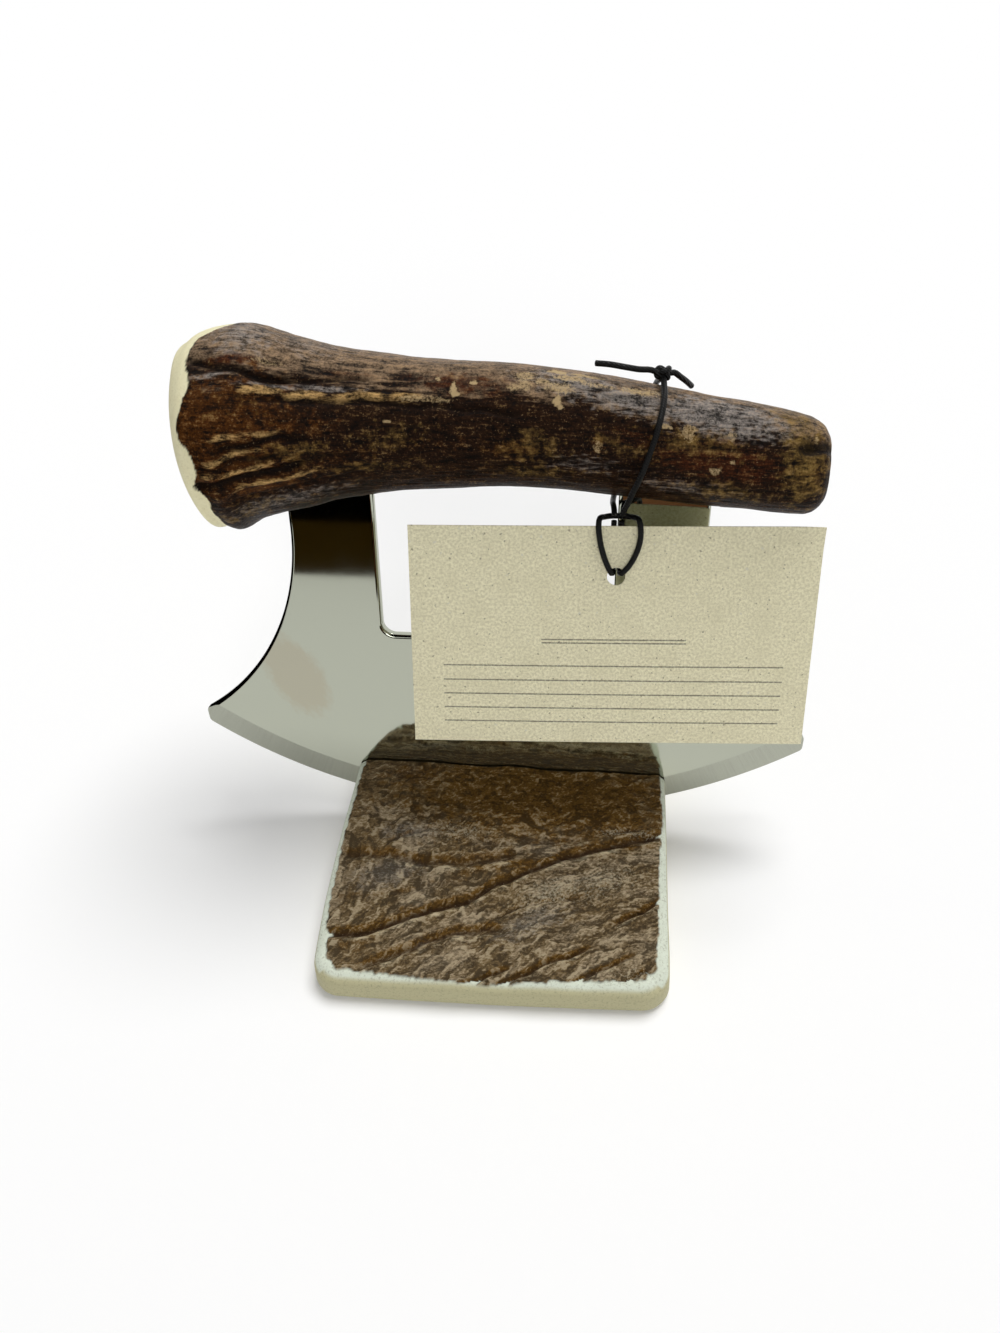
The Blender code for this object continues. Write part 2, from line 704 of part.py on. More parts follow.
def stand_mesh():
    """The slab: a grid of its top, pulled to the outline and the bark's height, with sides down to the table."""
    bm = bmesh.new()
    columns = [[bm.verts.new(place) for place in stand_column(across)] for across in gathered(STAND_COLUMNS)]
    for column, further in zip(columns, columns[1:]):
        for i in range(1, len(column)):
            bm.faces.new((column[i - 1], column[i], further[i], further[i - 1]))
    rim = [edge for edge in bm.edges if edge.is_boundary]
    sides = bmesh.ops.extrude_edge_only(bm, edges=rim)["geom"]
    lower = [item for item in sides if isinstance(item, bmesh.types.BMVert)]
    for vert in lower:
        vert.co.z = 0
    # The sides lean in towards the top, so the upper rim stands a little inside the lower one
    lean_in_x = 1 - 2 * STAND_SIDE_TAPER / STAND_WIDTH
    lean_in_y = 1 - 2 * STAND_SIDE_TAPER / STAND_DEPTH
    for vert in bm.verts:
        if vert.co.z > 0:
            vert.co.x = STAND_CENTRE_X + (vert.co.x - STAND_CENTRE_X) * lean_in_x
            vert.co.y *= lean_in_y
    lower_rim = [edge for edge in bm.edges if edge.is_boundary]
    bmesh.ops.contextual_create(bm, geom=lower_rim)
    return mesh_from(bm, "stand")


def build_stand():
    stand = add_object("stand", stand_mesh(), ANTLER_BARK)
    half_gap = BLADE_THICKNESS / 2 + GROOVE_CLEARANCE
    across = STAND_WIDTH
    above = STAND_GROOVE_THICKNESS + STAND_BACK_THICKNESS
    groove = box_mesh("groove", (-across, -half_gap, -TOUCHING_GAP), (across, half_gap, above))
    boolean(stand, add_cutter("groove", groove, KNIFE_FRAME), "DIFFERENCE")


def build_tag():
    left = -TAG_WIDTH / 2 - TAG_HOLE_OFF_CENTRE
    top = -TAG_TOP_UNDER_PIVOT
    card = [(left, top - TAG_HEIGHT), (left + TAG_WIDTH, top - TAG_HEIGHT), (left + TAG_WIDTH, top), (left, top)]
    hole = arc((0, top - TAG_HOLE_FROM_TOP), TAG_HOLE_DIAMETER / 2, 0, 2 * math.pi, 4 * ARC_STEP)[:-1]
    mesh = plate_mesh("tag", [card, hole], TAG_THICKNESS)
    mesh.transform(Matrix.Translation((0, -TAG_IN_FRONT_OF_PIVOT, 0)))
    add_object("tag", mesh, CARD, TAG_FRAME)


def build_cord():
    add_cord("cord_front_strand", FRONT_STRAND_ROUTE, KNIFE_FRAME)
    add_cord("cord_back_strand", BACK_STRAND_ROUTE, KNIFE_FRAME)
    add_cord("cord_long_tail", LONG_TAIL_ROUTE, KNIFE_FRAME)
    add_cord("cord_short_tail", SHORT_TAIL_ROUTE, KNIFE_FRAME)
    add_cord("tag_hitch", HITCH_ROUTE, TAG_FRAME)
    bm = bmesh.new()
    bmesh.ops.create_uvsphere(bm, u_segments=16, v_segments=10, radius=KNOT_RADIUS)
    bmesh.ops.scale(bm, vec=(1, 1, KNOT_HEIGHT_SHARE), verts=bm.verts)
    knot = add_object("cord_knot", mesh_from(bm, "cord_knot"), CORD_BLACK, KNIFE_FRAME)
    knot.location = KNOT_CENTRE


clear_scene()
PARTS = new_collection("ulu_knife")
CUTTERS = new_collection("cutters")
POLISHED_STEEL = material("polished_steel", 0.62, 0.63, 0.60, 0.08, 1.0)
ANTLER_BARK = material("antler_bark", 0.10, 0.055, 0.03, 0.45)
CURED_EPOXY = material("cured_epoxy", 0.35, 0.28, 0.16, 0.35)
CARD = material("card", 0.55, 0.53, 0.40, 0.85)
CORD_BLACK = material("cord_black", 0.012, 0.012, 0.013, 0.5)
KNIFE_FRAME = frame_empty("knife_frame", None, (0, GROOVE_Y, SEAT_HEIGHT), (-KNIFE_LEAN, 0, 0))
TAG_FRAME = frame_empty("tag_frame", KNIFE_FRAME, TAG_PIVOT, (KNIFE_LEAN - TAG_TILT, 0, TAG_TURN))
build_blade()
build_handle()
build_stand()
build_tag()
build_cord()
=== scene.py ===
"""The looks of an ulu knife with an antler handle, its antler stand and its hang tag.

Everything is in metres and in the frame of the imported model, +Z up. The knife is shaped upright in a frame
of its own and then leans back into the stand's groove. In that frame x runs along the blade, y backwards
and z up the blade. The tag is shaped upright too, in a frame whose origin is where it swings.

A range below is a lowest and a highest value, with what they become where that isn't 0 and 1. A bump is a
strength and a height. A share of a length or of an effect has no unit.
"""

import math

import bmesh
import bpy
from mathutils import Matrix, Vector, noise


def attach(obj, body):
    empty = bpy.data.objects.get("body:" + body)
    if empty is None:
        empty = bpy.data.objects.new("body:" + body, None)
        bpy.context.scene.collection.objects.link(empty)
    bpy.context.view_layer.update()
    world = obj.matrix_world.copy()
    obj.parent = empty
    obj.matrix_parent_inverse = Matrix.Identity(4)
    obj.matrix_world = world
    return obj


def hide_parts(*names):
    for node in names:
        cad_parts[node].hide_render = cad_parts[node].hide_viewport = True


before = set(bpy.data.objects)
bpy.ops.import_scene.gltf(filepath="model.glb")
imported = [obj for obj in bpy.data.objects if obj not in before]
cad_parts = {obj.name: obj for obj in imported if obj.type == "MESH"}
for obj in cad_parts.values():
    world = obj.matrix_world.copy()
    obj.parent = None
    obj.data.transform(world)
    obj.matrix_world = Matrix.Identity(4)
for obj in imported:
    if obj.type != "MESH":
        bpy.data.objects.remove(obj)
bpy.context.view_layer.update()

bl_info = {
    "name": "Ulu knife with an antler handle",
    "version": (1, 0, 0),
    "blender": (4, 5, 0),
    "location": "3D View > Sidebar > Ulu Knife",
    "description": "Dresses an ulu knife, its antler stand and its hang tag",
    "category": "Add Mesh",
}

# Blade
BLADE_CHORD = 0.1500
BLADE_THICKNESS = 0.0027
CUTTING_EDGE_RADIUS = 0.1320
CUTTING_EDGE_LAND = 0.0003
GRIND_WIDTH = 0.0065
TIP_NOSE_RADIUS = 0.0014
TIP_FLAT = 0.0025
SHOULDER_HEIGHT = 0.0780
WINDOW_WIDTH = 0.0545
WINDOW_SILL_HEIGHT = 0.0512
WINDOW_CORNER_RADIUS = 0.0030
LEG_WIDTH = 0.0200
TANG_TOP_HEIGHT = 0.1000
RIM_ROUNDING = 0.0009
SMUDGE_PLACE = (-0.0500, 0.0385, 0)
SMUDGE_HALF_SIZE = (0.0085, 0.0150, 1)
SMUDGE_LEAN = math.radians(25)
SMUDGE_RAGGEDNESS = 0.7
SMUDGE_RANGE = (0.46, 0.72, 0.0, 0.5)
HAZE_RANGE = (0.35, 0.75, 0.035, 0.075)
# The grinding scratches round the edge's centre, and outward in a metre
SCRATCHES_PER_RADIAN = 380.0
SCRATCHES_OUTWARD = 90.0
SCRATCH_BUMP = (0.25, 0.00003)
GROUND_ROUGHNESS = 0.2
# Faces that turn from the sheet's sides by an angle between these are ground
FLAT_FACE_ANGLE = math.radians(1)
GROUND_FACE_ANGLE = math.radians(12)

# Handle
HANDLE_LENGTH = 0.1372
HANDLE_CENTRE_X = 0.0012
HANDLE_AXIS_HEIGHT = 0.1026
GRIP_HALF_HEIGHT = 0.0131
GRIP_DEPTH_SHARE = 0.88
RIDGE_DEPTH = 0.00025
SLOT_MARGIN = 0.0016
# Along the length, half the height there, and the rise of the middle, the last two in grip half heights
HANDLE_PROFILE_SHARES = (
    (0.000, 0.565, 0.400),
    (0.002, 0.755, 0.320),
    (0.010, 1.090, 0.105),
    (0.021, 1.395, -0.125),
    (0.036, 1.605, -0.222),
    (0.055, 1.638, -0.175),
    (0.078, 1.685, -0.170),
    (0.108, 1.610, -0.065),
    (0.144, 1.525, -0.030),
    (0.193, 1.380, -0.035),
    (0.249, 1.236, -0.020),
    (0.335, 1.103, 0.000),
    (0.427, 1.031, 0.010),
    (0.519, 0.985, 0.015),
    (0.590, 0.962, -0.030),
    (0.669, 0.940, -0.123),
    (0.749, 0.908, -0.240),
    (0.826, 0.875, -0.352),
    (0.887, 0.848, -0.430),
    (0.933, 0.825, -0.500),
    (0.964, 0.795, -0.548),
    (0.980, 0.757, -0.578),
    (0.992, 0.680, -0.587),
    (1.000, 0.560, -0.603),
)
# How far furrows stray, how often along the handle, and what keeps them from straying alike
FURROW_SWAY = 0.0007
SWAYS_ALONG_HANDLE = 28
SWAY_SEED_STEP = 7.3
# Lumps of the bark: their size, their height in the flare and on the grip, and the shares where these hold
HANDLE_LUMP_SIZE = 0.0085
FLARE_LUMP_HEIGHT = 0.00032
GRIP_LUMP_HEIGHT = 0.00014
LUMP_SHARES = (0.18, 0.44)
HANDLE_SIDES = 300
HANDLE_STATIONS = 470
END_GATHERING = 0.35
CAP_SHARE = 0.05
CAP_HOLE_SHARE = 0.03
CAP_BULGE = 0.0004
# Low ridges all along the handle: how many round it, and how many radians they turn
HANDLE_RIDGES = ((5, 2), (3, -4))
# Where a furrow fades out at its ends, how many half widths it reaches, and what counts as a full one
FURROW_FADE_SHARE = 0.02
FURROW_REACH = 3
FULL_FURROW_DEPTH = 0.0007
FULL_CREST_HEIGHT = 0.00042
# Strands, fine strands and pebbles of the bark: size along and across, and height
STRAND_SIZES = (0.0100, 0.0011)
STRAND_HEIGHT = 0.00010
FINE_SIZES = (0.0042, 0.00055)
FINE_HEIGHT = 0.00005
PEBBLE_SIZE = 0.0019
PEBBLE_HEIGHT = 0.00005
# How much strands, fine strands and pebbles set the height mark: painted light that makes higher bark lighter
RELIEF_LIGHT_WEIGHTS = (0.5, 0.35, 0.25)
# Patches: how far they reach in half sizes, their ragged edge, where it fades out, and a scar's full core
PATCH_REACH = 1.6
PATCH_EDGE_SIZES = (0.0012, 0.0009)
PATCH_RAGGEDNESS = 0.55
PATCH_RIM = 1.35
SCAR_CORE = 0.7
SCAR_DEPTH = 0.00012
# How much of a ridge is pale: the middle and the swing of a noise, and the noise's sizes
HANDLE_CREST_COVER = (0.70, 1.1)
CREST_BREAK_SIZES = (0.0035, 0.0016)
# How much lumps and strands break up the worn top, which is partly painted light and sheen from above
WORN_AND_LIT_TOP_WEIGHTS = (0.25, 0.2)
WORN_AND_LIT_TOP_RANGE = (0.45, 0.95)

# Where the bark starts round the sanded left end: degrees from the front over the top, and the share along
BARK_START_SHARES = (
    (-180, 0.078),
    (-150, 0.073),
    (-120, 0.067),
    (-90, 0.063),
    (-61, 0.061),
    (-51, 0.060),
    (-40, 0.057),
    (-29, 0.062),
    (-19, 0.049),
    (-8, 0.057),
    (4, 0.049),
    (10, 0.038),
    (18, 0.034),
    (28, 0.042),
    (41, 0.052),
    (52, 0.044),
    (64, 0.045),
    (72, 0.053),
    (80, 0.078),
    (90, 0.104),
    (102, 0.117),
    (125, 0.106),
    (150, 0.090),
    (180, 0.078),
)
# The ragged line where the bark starts, in shares of the length: how far noises of two sizes move it, how far
# a furrow does, and the width of its step down to the sanded end
BARK_START_NOISES = ((0.0026, 0.0006), (0.0010, 0.0025))
BARK_START_IN_FURROW = 0.004
BARK_START_STEP = (0.0022, -0.0004)
SANDED_END_DROP = 0.00012
# Furrows and, with a negative depth, ridges: half width, depth, and points as share along and degrees round
HANDLE_FURROWS = (
    (
        0.00075,
        0.00110,
        ((0.037, 59), (0.047, 57), (0.086, 49), (0.119, 45), (0.146, 42), (0.177, 41), (0.211, 43)),
    ),
    (
        0.00110,
        -0.00040,
        ((0.119, 33), (0.151, 32), (0.190, 33), (0.233, 33), (0.280, 33), (0.328, 35), (0.423, 34)),
    ),
    (0.00070, 0.00085, ((0.083, -1), (0.108, 0), (0.127, 0), (0.153, 2), (0.177, 4), (0.231, 5))),
    (0.00085, 0.00125, ((0.033, -19), (0.048, -19), (0.078, -18), (0.106, -19), (0.168, -18), (0.221, -14))),
    (0.00090, 0.00090, ((0.037, 128), (0.067, 126), (0.119, 121), (0.180, 118), (0.262, 121))),
    (0.00090, 0.00100, ((0.037, -138), (0.088, -140), (0.149, -136), (0.211, -138))),
    (0.00055, 0.00060, ((0.170, 42), (0.207, 42), (0.244, 45), (0.281, 48), (0.324, 49))),
    (
        0.00060,
        0.00050,
        ((0.149, 27), (0.190, 28), (0.249, 29), (0.296, 30), (0.391, 28), (0.456, 26), (0.549, 23)),
    ),
    (0.00080, -0.00035, ((0.078, 7), (0.103, 6), (0.141, 6), (0.171, 7), (0.201, 9))),
    (0.00080, -0.00035, ((0.062, -4), (0.097, -4), (0.129, -3), (0.170, -1))),
    (0.00060, 0.00060, ((0.047, -7), (0.067, -7), (0.097, -9), (0.120, -8), (0.145, -8), (0.196, -5))),
    (0.00080, -0.00035, ((0.052, -12), (0.069, -12), (0.100, -14), (0.139, -13), (0.185, -11))),
    (0.00055, 0.00050, ((0.180, -17), (0.234, -12), (0.277, -11), (0.324, -10))),
    (0.00080, -0.00040, ((0.062, -26), (0.092, -26), (0.126, -25), (0.178, -24), (0.242, -20))),
    (0.00060, 0.00035, ((0.088, -34), (0.139, -36), (0.221, -33), (0.313, -30))),
    (0.00060, 0.00030, ((0.508, -14), (0.590, -17), (0.693, -16), (0.785, -12))),
    (0.00045, 0.00022, ((0.631, 20), (0.713, 17), (0.795, 16), (0.898, 19))),
    (0.00045, 0.00022, ((0.693, 4), (0.775, 5), (0.857, 3), (0.928, 2))),
    (0.00045, 0.00022, ((0.590, 56), (0.682, 52), (0.775, 54), (0.877, 52))),
    (0.00130, 0.00120, ((0.939, 30), (0.959, 33), (0.974, 37), (0.990, 42), (1.010, 42))),
    (0.00080, 0.00050, ((0.037, 152), (0.078, 150), (0.139, 154), (0.221, 150), (0.313, 152))),
    (0.00100, -0.00040, ((0.057, 160), (0.119, 163), (0.201, 160), (0.303, 164))),
    (0.00080, 0.00055, ((0.037, 176), (0.088, 174), (0.160, 172), (0.242, 175))),
    (0.00070, 0.00050, ((0.047, -158), (0.098, -156), (0.170, -160), (0.252, -158))),
    (0.00060, 0.00045, ((0.047, -112), (0.098, -110), (0.160, -114), (0.283, -110))),
    (0.00070, 0.00040, ((0.334, 140), (0.436, 137), (0.549, 141), (0.672, 138))),
    (0.00060, 0.00035, ((0.488, 168), (0.590, 171), (0.713, 168), (0.846, 172))),
    (0.00070, 0.00040, ((0.406, -150), (0.508, -147), (0.631, -150), (0.734, -146))),
)
# Patches of another colour on the bark, by kind:
# share along, degrees round, half length, half width, strength
HANDLE_PATCHES = {
    "pale": (
        (0.440, 44, 0.0006, 0.0016, 1.00),
        (0.444, 40, 0.0008, 0.0006, 1.00),
        (0.469, 51, 0.0009, 0.0006, 0.80),
        (0.415, 53, 0.0005, 0.0004, 0.80),
        (0.527, 48, 0.0012, 0.0010, 0.60),
        (0.545, 63, 0.0022, 0.0014, 0.60),
        (0.545, 52, 0.0018, 0.0012, 0.55),
        (0.570, 57, 0.0016, 0.0010, 0.60),
        (0.593, 53, 0.0034, 0.0012, 0.60),
        (0.590, 78, 0.0018, 0.0012, 0.90),
        (0.609, 67, 0.0032, 0.0011, 0.65),
        (0.592, 39, 0.0008, 0.0011, 1.00),
        (0.597, 34, 0.0006, 0.0007, 1.00),
        (0.635, 76, 0.0036, 0.0008, 0.70),
        (0.645, 62, 0.0040, 0.0007, 0.50),
        (0.708, 63, 0.0040, 0.0010, 0.60),
        (0.734, 67, 0.0030, 0.0008, 0.50),
        (0.753, 31, 0.0013, 0.0005, 0.70),
        (0.786, 29, 0.0015, 0.0017, 0.55),
        (0.654, 2, 0.0011, 0.0012, 0.45),
        (0.828, -5, 0.0011, 0.0009, 0.55),
        (0.850, 34, 0.0008, 0.0013, 0.40),
        (0.853, 6, 0.0007, 0.0006, 0.50),
        (0.973, 46, 0.0006, 0.0008, 0.50),
        (0.344, 15, 0.0011, 0.0003, 0.90),
        (0.165, 53, 0.0030, 0.0010, 0.30),
        (0.395, 34, 0.0055, 0.0007, 0.45),
        (0.452, 150, 0.0030, 0.0012, 0.36),
        (0.621, -170, 0.0040, 0.0011, 0.34),
        (0.775, 150, 0.0026, 0.0016, 0.34),
        (0.283, -140, 0.0030, 0.0009, 0.34),
    ),
    "olive": (
        (0.960, 20, 0.0070, 0.0130, 0.75),
        (0.950, 70, 0.0080, 0.0080, 0.65),
        (0.555, -5, 0.0110, 0.0060, 0.45),
        (0.300, -22, 0.0200, 0.0030, 0.40),
        (0.200, -6, 0.0120, 0.0040, 0.45),
        (0.130, 24, 0.0100, 0.0050, 0.28),
        (0.350, 2, 0.0140, 0.0040, 0.38),
        (0.690, 5, 0.0120, 0.0040, 0.38),
        (0.800, 20, 0.0160, 0.0040, 0.50),
        (0.110, -50, 0.0120, 0.0060, 0.45),
        (0.560, -34, 0.0140, 0.0040, 0.40),
        (0.845, -30, 0.0120, 0.0045, 0.50),
    ),
    "amber": (
        (0.093, 18, 0.0190, 0.0120, 1.00),
        (0.185, 14, 0.0140, 0.0060, 0.60),
        (0.114, -10, 0.0160, 0.0070, 1.00),
        (0.144, -25, 0.0160, 0.0050, 0.85),
        (0.147, 49, 0.0016, 0.0011, 0.90),
        (0.262, -14, 0.0140, 0.0045, 0.45),
        (0.534, -8, 0.0080, 0.0030, 0.70),
        (0.654, 3, 0.0020, 0.0020, 0.90),
        (0.786, 28, 0.0020, 0.0022, 0.90),
        (0.964, 9, 0.0042, 0.0046, 0.95),
        (0.977, 47, 0.0020, 0.0020, 0.70),
        (0.406, -2, 0.0150, 0.0030, 0.35),
        (0.129, 165, 0.0120, 0.0060, 0.60),
        (0.139, -140, 0.0120, 0.0070, 0.70),
        (0.590, -160, 0.0110, 0.0040, 0.50),
        (0.949, -160, 0.0060, 0.0060, 0.70),
    ),
    "warm": (
        (0.836, 6, 0.0170, 0.0050, 1.00),
        (0.713, 14, 0.0090, 0.0030, 0.50),
        (0.447, 50, 0.0150, 0.0035, 0.80),
        (0.108, 52, 0.0110, 0.0015, 0.90),
        (0.283, 52, 0.0090, 0.0020, 0.50),
        (0.693, 165, 0.0190, 0.0050, 0.70),
    ),
    # Grey patches are greyish bark; the broad ones high on the grip's right part are painted satin highlights
    "grey_and_sheen": (
        (0.124, 74, 0.0090, 0.0110, 0.66),
        (0.211, 78, 0.0120, 0.0070, 0.45),
        (0.088, 43, 0.0070, 0.0009, 0.90),
        (0.170, 37, 0.0100, 0.0008, 0.90),
        (0.252, 39, 0.0110, 0.0010, 0.70),
        (0.631, -18, 0.0100, 0.0032, 0.42),
        (0.170, -48, 0.0180, 0.0040, 0.50),
        (0.785, -30, 0.0180, 0.0040, 0.34),
        (0.830, 54, 0.0190, 0.0062, 1.10),
        (0.700, 52, 0.0150, 0.0040, 0.90),
        (0.620, 62, 0.0160, 0.0050, 0.80),
        (0.488, 175, 0.0200, 0.0060, 0.40),
    ),
}
PATCH_KINDS = ("pale", "amber", "warm", "grey_and_sheen", "olive")
MARK_NAMES = ("height", "furrow", "crest", "worn_and_sheen", "ivory", "sawn", *PATCH_KINDS)
# How the fibre pattern is drawn out: per metre along each axis
FIBRES_ALONG_BEAM = (220.0, 1500.0, 1500.0)
FIBRES_ACROSS_SLAB = (900.0, 2600.0, 1500.0)
# Gloss of each bark: its roughness, and how strongly it mirrors
BEAM_GLOSS = (0.36, 0.05)
SLAB_GLOSS = (0.66, 0.13)
# How much the relief's painted light and shade, the fibres, the grain and the blotches set the bark's tone
BEAM_TONE_WEIGHTS = (0.10, 0.50, 0.40, 0.35)
SLAB_TONE_WEIGHTS = (0.30, 0.46, 0.26, 0.10)
# Tones beside the middle one between which the bark gets light, and between which the palest fibres show
SHADE_TONES = (-0.09, 0.11)
TIP_TONES = (0.05, 0.15)
# Between these a mark gets full, and a pattern swings it up and down where it is weak
MARK_RANGE = (0.25, 0.80)
PATCH_SWING = 1.6
SCAR_SWING = 2.2
# How much of the furrows' own colour shows in them
FURROW_SHADE = 0.9
# The sanded antler's clouds and pores
CLOUD_RANGE = (0.3, 0.7, 0.0, 0.5)
PORE_RANGE = (0.52, 0.68)
# How far the fibres make the bark smoother and rougher
ROUGHNESS_SWING = (-0.1, 0.16)
SANDED_ROUGHNESS = 0.55
FIBRE_BUMP = (0.8, 0.00030)
GRAIN_BUMP = (0.4, 0.00010)

# Beddings
RESIN_COLOUR = "#8A6A34"
RESIN_CLOUD_COLOUR = "#B49762"
BUBBLES_PER_METRE = 1400.0
BUBBLE_BUMP = (0.2, 0.0001)
RESIN_ROUGHNESS = 0.3

# Stand
STAND_WIDTH = 0.0800
STAND_CENTRE_X = 0.0025
STAND_FRONT_DEPTH = 0.0555
STAND_BACK_DEPTH = 0.0440
STAND_FRONT_THICKNESS = 0.0075
STAND_GROOVE_THICKNESS = 0.0172
STAND_BACK_THICKNESS = 0.0110
STAND_FRONT_SKEW = 0.0024
STAND_SIDE_TAPER = 0.0007
STAND_CORNER_RADIUS = 0.0060
SANDED_EDGE_WIDTH = 0.0022
SANDED_EDGE_DROP = 0.0010
BARK_WAVE_HEIGHT = 0.0005
BARK_WAVE_LENGTH = 0.0130
GROOVE_CLEARANCE = 0.0004
SEAT_HEIGHT = 0.0028
KNIFE_LEAN = math.radians(13.7)
# Along the depth from front to back, and how far the left and the right side bulge, in half widths
STAND_SIDE_SHARES = (
    (0.00, 0.000, 0.028),
    (0.11, 0.010, 0.030),
    (0.21, 0.0125, 0.0235),
    (0.40, -0.0025, 0.0175),
    (0.52, -0.0225, 0.0125),
    (0.58, -0.030, 0.010),
    (0.75, -0.050, -0.010),
    (1.00, -0.120, -0.090),
)
STAND_LUMP_HEIGHT = 0.0004
STAND_LUMP_LENGTH = 0.0080
STAND_LUMP_WIDTH = 0.0042
STAND_LUMP_SEED = 3
# Noises of the slab: size along, size across, and what keeps them from running alike
SLAB_NOISES = {
    "sway": (0.0060, 0.0060, 5),
    "crumple": (0.0013, 0.0013, 6),
    "patch_edges": (0.0025, 0.0012, 4),
    "lip_breaks": (0.0035, 0.0020, 2),
    "drifts": (0.0110, 0.0060, 9),
    "bark_edge": (0.0011, 0.0011, 7),
    "bark_edge_waves": (0.0030, 0.0030, 8),
    "lumps": (STAND_LUMP_LENGTH, STAND_LUMP_WIDTH, STAND_LUMP_SEED),
}
# The bark's pattern runs level at the back and climbs to the right in front, between these half depths
BARK_CLIMB = 0.50
BARK_CLIMB_SHARES = (-0.12, -0.76)
# Flakes of the bark: length, width, and share of the relief
FLAKE_SIZES = (
    (0.0070, 0.0022, 0.34),
    (0.0034, 0.0012, 0.38),
    (0.0017, 0.0008, 0.30),
)
FLAKE_SEED_STEP = 5.1
FLAKE_HEIGHT = 0.00045
FLAKE_SWAY = 0.0016
FLAKE_CRUMPLE = 0.0007
# Half the width of a flake's edge, and how strongly and how far from it the light and shade go
FLAKE_EDGE = 0.12
FLAKE_LIGHT_RISE = 0.10
FLAKE_LIGHT_REACH = 0.14
# The bark gets calmer, its painted light more even and its colour darker towards the groove, between these
# places along Y
CALM_AND_SHADED_PLACES = (-0.013, 0.001)
CALM_SHARE = 0.55
CALM_LIGHT_SHARE = 0.5
# How much the flakes' edges and the flakes set the height mark, which holds their painted light and shade
SLAB_EDGE_LIGHT_WEIGHTS = (1.1, 0.25)
# How much of the bark is worn: the middle, what the drifts and the flakes add, and the most
SLAB_WORN_COVER = (0.35, 0.8, 0.5, 0.75)
# How much of a furrow's lip is pale: the middle and the swing
LIP_COVER = (0.5, 1.2)
FULL_LIP_HEIGHT = 0.0013
SLAB_PATCH_RAGGEDNESS = 0.35
SLAB_PATCH_RIM = 1.4
STAND_COLUMNS = 290
STAND_ROWS = 350
# Along the depth, and how far in the bark starts from the left and from the right edge, in metres
BARK_SIDE_INSETS = (
    (0.00, 0.0026, 0.0028),
    (0.08, 0.0022, 0.0026),
    (0.15, 0.0013, 0.0020),
    (0.30, 0.0012, 0.0017),
    (0.38, 0.0010, 0.0012),
    (0.44, 0.0012, 0.0005),
    (0.50, 0.0012, 0.0010),
    (0.56, 0.0014, 0.0008),
    (0.75, 0.0015, 0.0015),
    (1.00, 0.0020, 0.0020),
)
# Across the front from left to right, and how far in the bark starts there, in metres
BARK_FRONT_INSETS = (
    (-1.0, 0.0026),
    (-0.8, 0.0023),
    (-0.5, 0.0017),
    (-0.2, 0.0010),
    (0.0, 0.0008),
    (0.2, 0.0014),
    (0.4, 0.0021),
    (0.7, 0.0026),
    (1.0, 0.0030),
)
BARK_BACK_INSET = 0.0018
CORNER_BARK_INSET = 0.0010
# The ragged line where the bark ends, how far a furrow moves it, and its low step
BARK_EDGE_REACHES = {"bark_edge": 0.00045, "bark_edge_waves": 0.00035}
BARK_EDGE_IN_FURROW = 0.0012
BARK_EDGE_STEP = (-0.00015, 0.00020)
BARK_EDGE_RISE = 0.0001
BARK_EDGE_DROP = 0.00020
# How near the front edge the sawn face starts
SAWN_EDGE_STEP = (0.0013, 0.0002)
GROOVE_UNDERCUT = 0.0003
# Rings of the slab's side: share of the rim's height, and share of the way out to the lower rim
SIDE_RINGS = (
    (0.93, 0.45),
    (0.80, 0.70),
    (0.55, 0.85),
    (0.25, 1.00),
    (0.16, 0.85),
    (0.08, 0.40),
    (0.03, -0.30),
    (0.00, -1.40),
)
# The slab's furrows: how far they stray, over what length, and what keeps them from straying alike
SLAB_FURROW_SWAY = 0.0006
SLAB_SWAY_LENGTH = 0.0035
SLAB_SWAY_SEED_STEP = 3.7
SLAB_FURROW_FADE = 0.003
SLAB_FURROW_REACH = 4
FULL_SLAB_FURROW = 0.0010
# The lip in front of a furrow and the thin amber bark behind it, in half widths of the furrow
LIP_PLACE = -1.7
LIP_SHARPNESS = 1.5
LIP_SHARE = 0.5
AMBER_PLACE = 0.9
AMBER_REACH = 1.2
